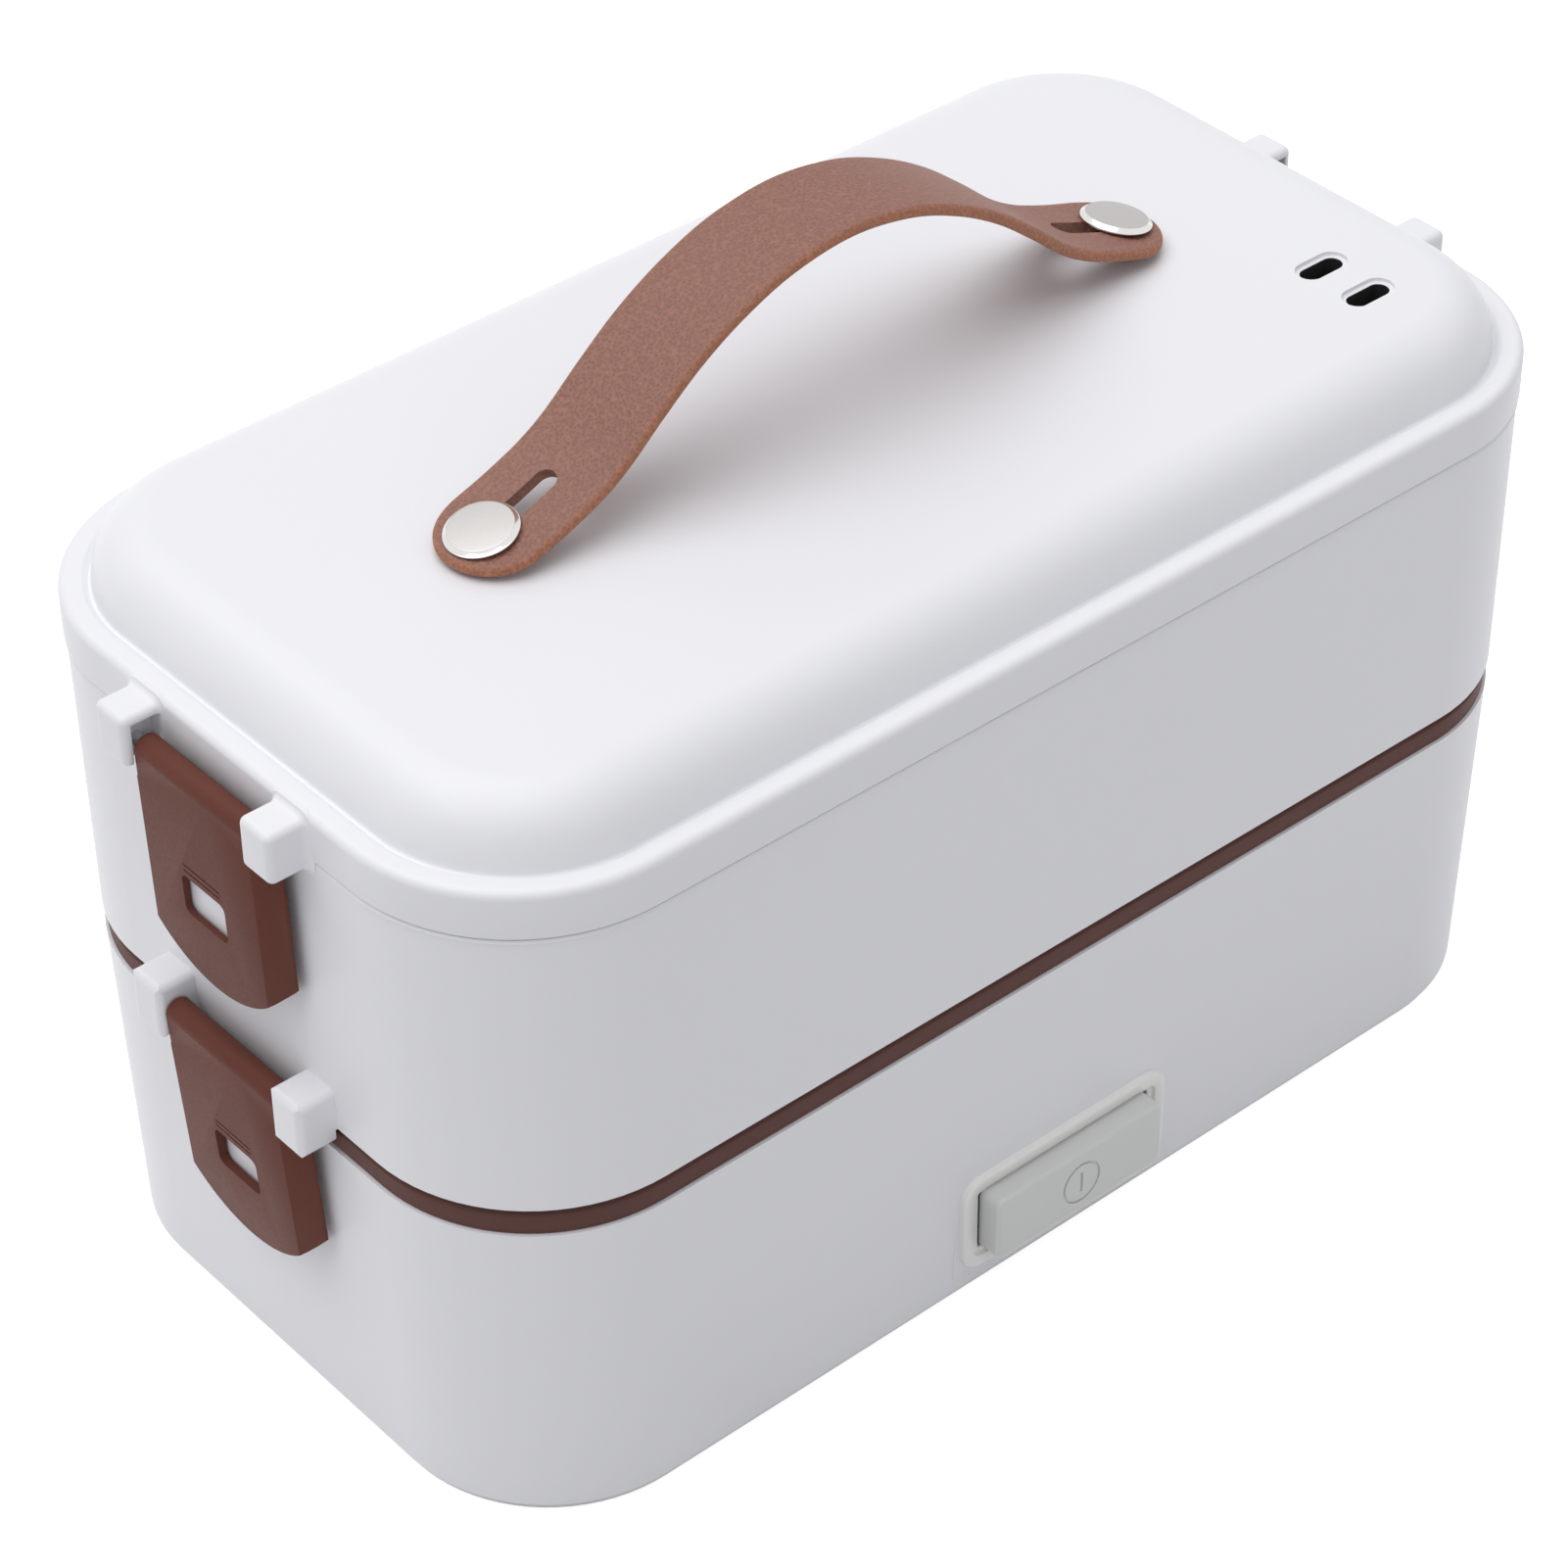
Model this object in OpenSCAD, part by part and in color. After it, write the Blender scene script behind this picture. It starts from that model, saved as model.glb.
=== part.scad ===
// Two-tier electric lunch box: a heating base tier, a steaming tier and a domed lid with a strap handle.
// Long axis along X, switch side towards -Y, standing on the plane z = 0.

/* [Body] */
// Length over the walls at the lid seam
body_len = 232; // [226:1:240]
// Width over the walls at the lid seam
body_wid = 127; // [122:1:134]
// Height of the joint between the two tiers
tier_z = 67.6; // [66:0.2:70]
// Height of the seam between the upper tier and the lid
seam_z = 121.4; // [119:0.2:126]
// Corner radius of the walls at the lid seam
corner_r = 31.5; // [30:0.5:33]
// Thickness of the moulded walls
wall_t = 2.4; // [2.2:0.1:2.6]
// Inward lean of the lower tier wall per millimetre of height
lower_draft = 0.028; // [0.024:0.001:0.03]
// Inward lean of the upper tier wall per millimetre of height
upper_draft = 0.011; // [0.009:0.001:0.013]
// Height of the silicone band between the tiers
band_h = 4.8; // [4.4:0.1:5.2]

/* [Lid] */
// Height of the lid skirt below the rounded rim
skirt_h = 7; // [6.6:0.1:7.4]
// Radius of the soft edge of the dome
dome_r = 10.6; // [10:0.1:11]
// Rise of the lid top over its soft edge
crown_h = 0.2; // [0.1:0.05:0.4]
// Length of a steam slot
slot_len = 8.6; // [8:0.2:9.4]
// Width of a steam slot
slot_wid = 3.6; // [3.2:0.1:4]

/* [Latches] */
// Width of a latch below the ears
latch_wid = 35; // [34:0.5:36]
// Width of a latch between the ears
barrel_wid = 28.2; // [28:0.1:28.4]
// Length of a latch below its pivot
latch_drop = 37.6; // [36.6:0.2:38]
// Width of an ear along Y
ear_wid = 7.5; // [7:0.1:8]
// Diameter of a latch pin
pin_d = 2.4; // [2.2:0.1:2.6]

/* [Strap] */
// Distance of each stud from the middle
stud_x = 65.8; // [64:0.2:68]
// Width of the strap
strap_wid = 19.8; // [19:0.2:20.6]
// Thickness of the strap
strap_t = 2; // [1.8:0.1:2.2]
// Height of the strap's arch over its ends
strap_rise = 32.2; // [28:0.2:34]
// Diameter of a stud cap
cap_d = 12.2; // [11.4:0.2:13]

/* [Switch] */
// Length of the switch button
button_len = 37.4; // [36:0.2:38.4]
// Height of the switch button
button_h = 13.2; // [12.6:0.2:13.6]
// Distance that the button stands out from the bezel
button_out = 3.7; // [3:0.1:4.2]

/* [Hidden] */
$fn = 64;

white = [0.93, 0.93, 0.95];
brown = [0.43, 0.27, 0.23];
leather = [0.62, 0.42, 0.36];
steel = [0.78, 0.78, 0.8];
dark = [0.16, 0.15, 0.16];
silicone = [0.84, 0.85, 0.86];

half_len = body_len / 2;
half_wid = body_wid / 2;

// Depth of a section that reaches the middle, and how far the middle laps over it
core_in = corner_r - 0.01;
core_lap = 0.5;

// Heights of the base, from the ground up
foot_h = 0.8;
cover_t = 1;
shell_z = foot_h + cover_t;
screw_d = 2.2;
screw_len = 9;
screw_head_d = 5.2;
screw_head_h = 0.4;
boss_d = 7;
foot_d = 15;
band_z = tier_z - band_h;
deck_z = 22.5;
deck_t = 2;
sheet_t = 0.8;
fit = 0.5;
tray_flange_z = deck_z + sheet_t;
tray_top_z = tray_flange_z + sheet_t;
tray_floor_z = 15.4;
heater_len = 72;
heater_wid = 30;
heater_h = 3.4;
clamp_x = 43;
clamp_t = 1;
clamp_stud_d = 3;
nut_h = 2.4;
sensor_x = 60;

// Inset of the deck opening, and of the bowls at foot and rim
deck_inset = 15;
bowl_foot = 10.5;
bowl_rim = 6.6;
bowl_flange = 5;
bowl_foot_r = 5;
tray_out = deck_inset + fit;
boss_reach = corner_r + (wall_in(shell_z) - wall_t - tray_out) / 2;

// Heights of the bowls and of the steam floor
lower_rim_z = tier_z - 9.6;
ledge_z = tier_z - 3;
floor_t = 1.2;
upper_foot_z = ledge_z + floor_t;
upper_rim_z = seam_z - 8.4;
bowl_lid_t = 1.6;
bowl_plug = 3;
bowl_plug_t = 1.8;
bowl_seal_in = 2.6;
spigot_in = 4.6;
spigot_t = 1.8;
ledge_in = 13;
ledge_t = 1.6;
steam_hole_d = 7;

// Heights of the lid, over the seam
skirt_z = seam_z + 0.3;
skirt_top = skirt_z + skirt_h;
rim_r = 1.5;
crest_z = skirt_top + rim_r;
valley_z = crest_z - 1.1;
valley_in = 4.6;
dome_z = valley_z + 0.6 + dome_r;
top_z = dome_z + crown_h;
roof_t = 2.2;
seal_t = 1.6;
skirt_t = 1.3;
rib_h = 2;
plug_drop = 3;
plug_t = 1.6;
liner_z = seam_z + 1.8;
liner_t = 1.4;
dome_in = valley_in + 0.6 + dome_r;

// Latches: pivots, faces and the catch pads behind the windows
barrel_r = 2.3;
face_out = barrel_r;
ear_gap = 14.5;
ear_out = 7;
ear_edge_r = 1.3;
ear_clear = 0.4;
swing_clear = 0.25;
lid_ear_top = crest_z - 1.1;
lid_ear_h = 9.3;
tier_ear_top = tier_z + 8.4;
tier_ear_h = 10.4;
lid_pivot_drop = 6.1;
tier_pivot_drop = 5.2;
pivot_out = 3.3;
upper_pivot = [half_len + pivot_out, lid_ear_top - lid_pivot_drop];
lower_pivot = [half_len + pivot_out, tier_ear_top - tier_pivot_drop];
upper_lean = 1.5;
lower_lean = 3.5;
running_fit = 0.05;
plate_t = 1.7;
window_top = 18.1;
window_h = 7.6;
window_wid = 11;
latch_arc_r = 22;
bevel = 3.2;
latch_depth = 1.5;
latch_side_t = 1.6;
pad_wid = 13;
pad_h = 10;
pad_clear = 0.35;
pad_side = 0.5;
pad_drop = window_top + window_h / 2;
lip_t = 0.7;

// Strap and studs
slot_travel = 12.6;
strap_slot_w = 4.2;
cap_t = 1.1;
cap_bevel = 0.7;
washer_d = 8.4;
washer_t = 0.5;
cap_tilt = 13;
cap_lift = 0.65;
tip_gap = 0.45;
stud_d = 3.4;
stud_boss_d = 9;
stud_boss_h = 3;
strap_end = stud_x + strap_wid / 2 - 3.1;
strap_z = top_z + tip_gap;
cap_seat = 0.026;
cap_z = strap_z + cap_seat * strap_rise + strap_t + cap_lift;
stud_foot_z = top_z - roof_t - stud_boss_h;

// Height of the strap's underside, as [part of the way to the stud, part of the rise]
arch = [[0, 1], [0.18, 0.949], [0.33, 0.832], [0.46, 0.678], [0.575, 0.494], [0.68, 0.311],
    [0.76, 0.207], [0.84, 0.134], [0.92, 0.074], [1, cap_seat], [1.1, 0], [1.2, -0.01]];
arch_steps = 36;

// Steam slots in the lid
vent_x = half_len - 30.2;
vent_y = [-27.7, -38.2];
vent_pad_z = top_z - 5;
vent_pad = [18, 22];
vent_lip = 0.8;

// Switch on the front wall and inlet on the back wall
switch_z = 16.6;
bezel_len = 45.4;
bezel_h = 19.4;
bezel_back = 0.9;
bezel_out = 1.5;
button_gap = 0.4;
push = 1.5;
switch_y = half_wid - 2.05;
housing_y = switch_y - 3.4;
inlet_z = 9.2;
inlet_len = 18;
inlet_h = 7.6;
inlet_depth = 13;
inlet_r = 3;
inlet_pin_x = 4.3;
inlet_pin_d = 2.3;
inlet_back = switch_y + 1 - inlet_depth;
lead_d = 2.6;
housing_t = 8;
stem = [10, 4];
stem_z = switch_z - 3;

// Distance of the wall's outer face from its place at the seam
function wall_in(z) =
    z > tier_z ? -upper_draft * (seam_z - z)
    : -upper_draft * (seam_z - tier_z) - lower_draft * (tier_z - z);

function arc(cx, cy, r, a0, a1, n = 8) =
    [for (i = [0:n]) let (a = a0 + (a1 - a0) * i / n) [cx + r * cos(a), cy + r * sin(a)]];

// Sweeps an upright section round the wall line. The section's x is the distance outwards from the
// wall at the seam and its y is the height.
module swept() {
    mid_x = half_len - corner_r;
    mid_y = half_wid - corner_r;
    for (i = [0:3]) {
        sx = (i == 0 || i == 3) ? 1 : -1;
        sy = i < 2 ? 1 : -1;
        translate([sx * mid_x, sy * mid_y, 0])
            rotate([0, 0, 90 * i])
                rotate_extrude(angle = 90)
                    translate([corner_r, 0])
                        children();
    }
    for (m = [0, 1]) {
        mirror([0, m, 0])
            translate([0, half_wid, 0])
                rotate([90, 0, 90])
                    linear_extrude(2 * mid_x, center = true)
                        children();
        mirror([m, 0, 0])
            translate([half_len, 0, 0])
                rotate([90, 0, 0])
                    linear_extrude(2 * mid_y, center = true)
                        children();
    }
}

// Fills the middle, a little past the corner centres, between two heights
module core(z0, z1) {
    len = 2 * (half_len - corner_r + core_lap);
    wid = 2 * (half_wid - corner_r + core_lap);
    translate([0, 0, (z0 + z1) / 2])
        cube([len, wid, z1 - z0], center = true);
}

// A whole flat plate whose edge lies inset from the wall line
module plate(inset, z0, z1) {
    swept()
        translate([-core_in, z0])
            square([core_in - inset, z1 - z0]);
    core(z0, z1);
}

// A flat rounded rectangle centred on the origin
module rounded(len, high, r) {
    square([len - 2 * r, high], center = true);
    square([len, high - 2 * r], center = true);
    for (x = [-1, 1])
        for (y = [-1, 1])
            translate([x * (len / 2 - r), y * (high / 2 - r)])
                circle(r);
}

// Extrudes a section, drawn as seen from the front, from the depth y0 to y1
module along_y(y0, y1) {
    translate([0, y1, 0])
        rotate([90, 0, 0])
            linear_extrude(y1 - y0)
                children();
}

// Repeats its children at both ends of the box
module both_ends() {
    for (m = [0, 1])
        mirror([m, 0, 0])
            children();
}

// ---------------------------------------------------------------- base tier

// Wall, deck ring, screw bosses and the flat seat behind the switch
module base_shell() {
    color(white)
        difference() {
            union() {
                swept()
                    polygon(concat(
                        [[wall_in(shell_z) - wall_t, shell_z]],
                        [[wall_in(shell_z) - 0.9, shell_z]],
                        arc(wall_in(shell_z) - 0.9, shell_z + 0.9, 0.9, -70, 0, 4),
                        [[wall_in(band_z), band_z]],
                        [[wall_in(band_z) - wall_t, band_z]],
                        [[wall_in(deck_z) - wall_t, deck_z]],
                        [[-deck_inset, deck_z]],
                        [[-deck_inset, deck_z - deck_t]],
                        [[wall_in(deck_z - deck_t) - wall_t, deck_z - deck_t]]));
                boss_places()
                    translate([0, 0, shell_z])
                        cylinder(d = boss_d, h = deck_z - deck_t / 2 - shell_z);
                along_y(-switch_y, -housing_y)
                    translate([0, switch_z - 2.4])
                        square([bezel_len + 2, bezel_h - 2], center = true);
                along_y(housing_y, switch_y + wall_in(inlet_z) + 0.6)
                    translate([0, inlet_z])
                        square([inlet_len + 6, inlet_h + 4], center = true);
                both_ends() catch_pad(lower_pivot, lower_lean);
            }
            boss_places()
                translate([0, 0, shell_z - 1])
                    cylinder(d = screw_d, h = screw_len + 3);
            along_y(-half_wid - 1, -switch_y + bezel_back)
                translate([0, switch_z])
                    rounded(bezel_len, bezel_h, 4);
            along_y(-half_wid - 1, -housing_y + 1)
                translate([0, switch_z])
                    rounded(button_len + 2 * button_gap, button_h + 2 * button_gap, 1.6);
            along_y(housing_y - 1, half_wid + 1)
                translate([0, inlet_z])
                    rounded(inlet_len + 3, inlet_h + 1.6, inlet_r);
        }
}

// Repeats its children on the four screw bosses, midway between the tray and the wall at each corner
module boss_places() {
    for (x = [-1, 1])
        for (y = [-1, 1])
            translate([
                    x * (half_len - corner_r + boss_reach * cos(45)),
                    y * (half_wid - corner_r + boss_reach * sin(45)),
                    0])
                children();
}

// Distance from the pivot of the upright groove behind a latch's foot, which leaves a thin lip there
function groove_out(lean) = face_out * cos(lean) - latch_drop * sin(lean) - lip_t;

// Catch pad behind the window of a latch, standing out from the end wall
module catch_pad(pivot, lean) {
    root = half_len + wall_in(pivot[1] - pad_drop) - wall_t / 2;
    translate([root, -pad_wid / 2, pivot[1] - pad_drop - pad_h / 2])
        cube([pivot[0] + groove_out(lean) - pad_clear - root, pad_wid, pad_h]);
}

module base_cover() {
    color([0.8, 0.8, 0.82])
        difference() {
            plate(-wall_in(0) + 0.9, foot_h, shell_z);
            boss_places()
                cylinder(d = screw_head_d + 0.4, h = foot_h + screw_head_h);
            boss_places()
                cylinder(d = screw_d + 0.4, h = shell_z + 1);
        }
}

module feet() {
    color(dark)
        for (x = [-1, 1])
            for (y = [-1, 1])
                translate([x * (half_len - 42), y * (half_wid - 15), 0])
                    cylinder(d = foot_d, h = foot_h);
}

module base_screws() {
    color(steel)
        boss_places() {
            difference() {
                translate([0, 0, foot_h])
                    cylinder(d = screw_head_d, h = screw_head_h);
                for (a = [0, 90])
                    rotate([0, 0, a])
                        cube([3, 0.7, 2 * foot_h + screw_head_h / 2], center = true);
            }
            translate([0, 0, foot_h + screw_head_h])
                cylinder(d = screw_d, h = screw_len);
        }
}

// Silicone band: it hugs the rim of the base tier and carries the upper tier
module band_ring() {
    w = wall_in(tier_z);
    color(brown)
        swept()
            polygon([
                [wall_in(band_z) - 0.5, band_z],
                [w - 0.5, tier_z - 1.5],
                [w - 1.2, tier_z - 0.7],
                [w - 1.6, tier_z - 0.5],
                [w - 1.6, tier_z],
                [w - 3.5, tier_z],
                [wall_in(band_z - 2) - wall_t - 1.1, band_z - 2],
                [wall_in(band_z - 2) - wall_t, band_z - 2],
                [wall_in(band_z) - wall_t, band_z]]);
}

module heating_tray() {
    color(steel) {
        swept()
            polygon([
                [-core_in, tray_floor_z],
                [-tray_out - 2, tray_floor_z],
                [-tray_out, tray_floor_z + 2],
                [-tray_out, tray_flange_z],
                [-deck_inset + 5, tray_flange_z],
                [-deck_inset + 5, tray_top_z],
                [-tray_out - sheet_t, tray_top_z],
                [-tray_out - sheet_t, tray_floor_z + 2.4],
                [-tray_out - 2.4, tray_floor_z + sheet_t],
                [-core_in, tray_floor_z + sheet_t]]);
        core(tray_floor_z, tray_floor_z + sheet_t);
        for (x = [-1, 1])
            translate([x * clamp_x, 0, tray_floor_z - heater_h - clamp_t - nut_h - 1])
                cylinder(d = clamp_stud_d, h = heater_h + clamp_t + nut_h + 1 + sheet_t / 2);
    }
}

module tray_seal() {
    color(silicone)
        swept()
            translate([-deck_inset + fit, deck_z])
                square([4, sheet_t]);
}

module heater() {
    color([0.62, 0.6, 0.56])
        translate([-heater_len / 2, -heater_wid / 2, tray_floor_z - heater_h])
            cube([heater_len, heater_wid, heater_h]);
}

module heater_clamp() {
    color(steel)
        difference() {
            translate([-clamp_x - 5, -6, tray_floor_z - heater_h - clamp_t])
                cube([2 * clamp_x + 10, 12, clamp_t]);
            for (x = [-1, 1])
                translate([x * clamp_x, 0, 0])
                    cylinder(d = clamp_stud_d, h = deck_z);
        }
}

module clamp_nuts() {
    color(steel)
        for (x = [-1, 1])
            translate([x * clamp_x, 0, tray_floor_z - heater_h - clamp_t - nut_h])
                difference() {
                    cylinder(d = 2 * clamp_stud_d + 0.2, h = nut_h, $fn = 6);
                    translate([0, 0, -1])
                        cylinder(d = clamp_stud_d, h = nut_h + 2, $fn = 64);
                }
}

module thermostat() {
    color(dark)
        translate([sensor_x, 0, tray_floor_z - 5]) {
            cylinder(d = 16, h = 5);
            for (y = [-1, 1])
                translate([-2, y * 5 - 0.4, -3])
                    cube([4, 0.8, 3.5]);
        }
}

module thermal_fuse() {
    color([0.75, 0.74, 0.7])
        translate([-sensor_x, 0, tray_floor_z - 3]) {
            rotate([0, 90, 0])
                cylinder(d = 4.4, h = 20, center = true);
            translate([-7, -2.6, 0])
                cube([14, 5.2, 3]);
        }
}

// Two-pin inlet in the back wall, moulded as one sleeve
module inlet_socket() {
    color(dark)
        difference() {
            along_y(inlet_back, half_wid + wall_in(inlet_z) - 0.3)
                translate([0, inlet_z])
                    rounded(inlet_len + 3, inlet_h + 1.6, inlet_r);
            along_y(inlet_back + 2, half_wid + 2)
                translate([0, inlet_z])
                    rounded(inlet_len - 1, inlet_h - 0.6, inlet_r);
            inlet_pin_places()
                along_y(inlet_back - 1, inlet_back + 3)
                    circle(d = inlet_pin_d);
        }
}

module inlet_pin_places() {
    for (x = [-1, 1])
        translate([x * inlet_pin_x, 0, inlet_z])
            children();
}

module inlet_pins() {
    color([0.82, 0.72, 0.45])
        inlet_pin_places()
            along_y(inlet_back - 4, inlet_back + inlet_depth - 2.5)
                circle(d = inlet_pin_d);
}

// Frame of the switch, let into the front wall
module switch_bezel() {
    front = -switch_y - bezel_out;
    color([0.9, 0.9, 0.88])
        difference() {
            union() {
                along_y(front + 0.5, -switch_y + bezel_back)
                    translate([0, switch_z])
                        rounded(bezel_len, bezel_h, 4);
                along_y(front, front + 0.5)
                    translate([0, switch_z])
                        rounded(bezel_len - 1, bezel_h - 1, 3.5);
            }
            along_y(-half_wid - 5, -housing_y)
                translate([0, switch_z])
                    rounded(button_len + 2 * button_gap, button_h + 2 * button_gap, 1.6);
        }
}

// Push button with a ring and a bar cut into its face, and a stem into the switch body
module switch_button() {
    front = -switch_y - bezel_out - button_out;
    rear = -housing_y - push - 0.4;
    color([0.82, 0.84, 0.83])
        difference() {
            union() {
                along_y(front + 0.9, rear)
                    translate([0, switch_z])
                        rounded(button_len, button_h, 1.2);
                along_y(front + 0.3, front + 0.9)
                    translate([0, switch_z])
                        rounded(button_len - 0.6, button_h - 0.6, 1.2);
                along_y(front, front + 0.3)
                    translate([0, switch_z])
                        rounded(button_len - 1.6, button_h - 1.6, 1);
                along_y(rear, -housing_y + 3)
                    translate([0, stem_z])
                        square(stem, center = true);
            }
            along_y(front - 1, front + 0.35)
                translate([0, switch_z])
                    difference() {
                        circle(d = 8.4);
                        circle(d = 7.2);
                    }
            along_y(front - 1, front + 0.35)
                translate([0, switch_z])
                    square([0.8, 4.2], center = true);
        }
}

// Body of the switch, seated on the inner face of its flat
module switch_housing() {
    color(dark)
        difference() {
            along_y(-housing_y, -housing_y + housing_t)
                translate([0, stem_z])
                    rounded(34, 9, 1);
            along_y(-housing_y - 1, -housing_y + housing_t - 2.4)
                translate([0, stem_z])
                    square([stem[0] + 1, stem[1] + 1], center = true);
        }
}

// Insulated leads from the inlet pins to the body of the switch
module leads() {
    color([0.75, 0.2, 0.15])
        inlet_pin_places()
            along_y(-housing_y + housing_t, inlet_back - 4)
                circle(d = lead_d);
}

// ---------------------------------------------------------------- bowls

// Pressed bowl with a flat rolled-out rim
module bowl(foot_z, rim_z) {
    color(steel) {
        swept()
            polygon(concat(
                [[-core_in, foot_z]],
                arc(-bowl_foot - bowl_foot_r, foot_z + bowl_foot_r, bowl_foot_r, -90, 0, 6),
                [[-bowl_rim - sheet_t, rim_z - sheet_t]],
                [[-bowl_flange, rim_z - sheet_t]],
                [[-bowl_flange, rim_z]],
                [[-bowl_rim - 2 * sheet_t, rim_z]],
                arc(-bowl_foot - bowl_foot_r, foot_z + bowl_foot_r, bowl_foot_r - sheet_t, 0, -90, 6),
                [[-core_in, foot_z + sheet_t]]));
        core(foot_z, foot_z + sheet_t);
    }
}

// Flat bowl lid with a ring that enters the bowl and a round recess on top
module bowl_lid(rim_z) {
    z = rim_z + sheet_t;
    color([0.88, 0.88, 0.89])
        difference() {
            union() {
                plate(bowl_flange, z, z + bowl_lid_t);
                swept()
                    translate([-bowl_rim - bowl_seal_in - fit - bowl_plug_t, rim_z - bowl_plug])
                        square([bowl_plug_t, bowl_plug + sheet_t + bowl_lid_t / 2]);
            }
            translate([0, 0, z + bowl_lid_t])
                cylinder(d = 24, h = 1.6, center = true);
        }
}

// Gasket clamped between the bowl's rim and its lid
module bowl_seal(rim_z) {
    color(silicone)
        swept()
            translate([-bowl_rim - bowl_seal_in, rim_z])
                square([bowl_seal_in + 0.6, sheet_t]);
}

module lower_bowl() {
    bowl(tray_top_z, lower_rim_z);
}

module lower_bowl_lid() {
    bowl_lid(lower_rim_z);
}

module lower_bowl_seal() {
    bowl_seal(lower_rim_z);
}

module upper_bowl() {
    bowl(upper_foot_z, upper_rim_z);
}

module upper_bowl_lid() {
    bowl_lid(upper_rim_z);
}

module upper_bowl_seal() {
    bowl_seal(upper_rim_z);
}

// ---------------------------------------------------------------- upper tier

// Wall, spigot into the base tier, floor ledge, ears and catch pads
module upper_shell() {
    color(white)
        difference() {
            union() {
                swept()
                    polygon([
                        [wall_in(tier_z) - 1.4, tier_z],
                        [wall_in(tier_z), tier_z + 0.6],
                        [-0.35, seam_z - 0.8],
                        [-0.1, seam_z - 0.5],
                        [-0.35, seam_z],
                        [-wall_t, seam_z],
                        [wall_in(tier_z + 2) - wall_t, tier_z + 2],
                        [-spigot_in - spigot_t, tier_z - 0.4],
                        [-spigot_in - spigot_t, ledge_z],
                        [-ledge_in, ledge_z],
                        [-ledge_in, ledge_z - ledge_t],
                        [-spigot_in, ledge_z - ledge_t],
                        [-spigot_in, tier_z]]);
                both_ends() catch_pad(upper_pivot, upper_lean);
                both_ends() ear_pair(tier_ear_top, tier_ear_h, wall_in(tier_z), tier_z + 0.6);
            }
            both_ends() pin_bores(lower_pivot);
        }
}

// Two ears with rounded edges, standing out from the end wall between two heights. Under the joint
// they stay clear of the wall below.
module ear_pair(top, high, wall_x, joint_z) {
    face = half_len + wall_x;
    root = face - 1;
    mid = face + (ear_out - 4) / 2;
    for (y = [-1, 1])
        translate([0, y * (ear_gap + ear_wid / 2), 0])
            intersection() {
                translate([mid, 0, top - high / 2])
                    rotate([90, 0, 0])
                        linear_extrude(ear_wid, center = true)
                            rounded(ear_out + 4, high, ear_edge_r);
                translate([mid, 0, top - high])
                    linear_extrude(high)
                        rounded(ear_out + 4, ear_wid, ear_edge_r);
                translate([root, 0, top - high / 2])
                    rotate([90, 0, 90])
                        linear_extrude(ear_out + 2)
                            rounded(ear_wid, high, ear_edge_r);
                rotate([90, 0, 0])
                    linear_extrude(ear_wid + 2, center = true)
                        polygon([
                            [root, top + 1],
                            [root, joint_z],
                            [face + ear_clear, joint_z],
                            [face + ear_clear, top - high - 1],
                            [face + ear_out + 1, top - high - 1],
                            [face + ear_out + 1, top + 1]]);
            }
}

// Blind bores for the latch pins, from between the ears
module pin_bores(pivot) {
    translate([pivot[0], 0, pivot[1]])
        rotate([90, 0, 0])
            cylinder(d = pin_d, h = 2 * (ear_gap + ear_wid - 1.5), center = true);
}

module steam_floor() {
    color(steel)
        difference() {
            plate(spigot_in + spigot_t + fit, ledge_z, upper_foot_z);
            for (x = [-4:4])
                for (y = [-1:1])
                    translate([x * (half_len - ledge_in) / 5.4, y * (half_wid - ledge_in) / 2.1, ledge_z - 1])
                        cylinder(d = steam_hole_d, h = floor_t + 2);
        }
}

// ---------------------------------------------------------------- lid

module lid_shell() {
    color(white)
        difference() {
            union() {
                swept()
                    polygon(concat(
                        [[-skirt_t, skirt_z]],
                        [[-0.3, skirt_z]],
                        [[0, skirt_z + 0.4]],
                        arc(-rim_r, skirt_top, rim_r, 0, 90, 6),
                        [[-rim_r - 0.6, crest_z - 0.1]],
                        [[-valley_in + 0.8, valley_z + 0.05]],
                        arc(-valley_in, valley_z + 0.6, 0.6, -90, -180, 4),
                        arc(-dome_in, valley_z + 0.6, dome_r, 0, 86, 16),
                        [for (i = [1:5]) let (t = i / 5)
                            [-dome_in - (core_in - dome_in) * t, dome_z + crown_h * sin(90 * t)]],
                        [[-core_in, top_z - roof_t]],
                        [[-dome_in, dome_z - roof_t]],
                        arc(-dome_in, valley_z + 0.6, dome_r - roof_t, 80, 0, 8),
                        [[-dome_in + dome_r - roof_t, liner_z + liner_t + rib_h]],
                        [[-wall_t - fit, liner_z + liner_t + rib_h]],
                        [[-wall_t - fit, seam_z + seal_t]],
                        [[-skirt_t, seam_z + seal_t]]));
                core(top_z - roof_t, top_z);
                translate([vent_x, (vent_y[0] + vent_y[1]) / 2, vent_pad_z])
                    linear_extrude(top_z - 1 - vent_pad_z)
                        rounded(vent_pad[0], vent_pad[1], 2);
                both_ends() ear_pair(lid_ear_top, lid_ear_h, 0, skirt_z);
                both_ends()
                    translate([stud_x, 0, stud_foot_z])
                        cylinder(d = stud_boss_d, h = stud_boss_h + roof_t / 2);
            }
            for (y = vent_y)
                translate([vent_x, y, 0]) {
                    steam_slot(slot_len, slot_wid, vent_pad_z - 1, top_z + 1);
                    steam_slot(slot_len + 2 * vent_lip, slot_wid + 2 * vent_lip, top_z - 0.7, top_z + 1);
                }
            both_ends() pin_bores(upper_pivot);
            both_ends()
                translate([stud_x, 0, stud_foot_z - 1])
                    cylinder(d = stud_d, h = top_z - stud_foot_z + 2);
        }
}

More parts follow.
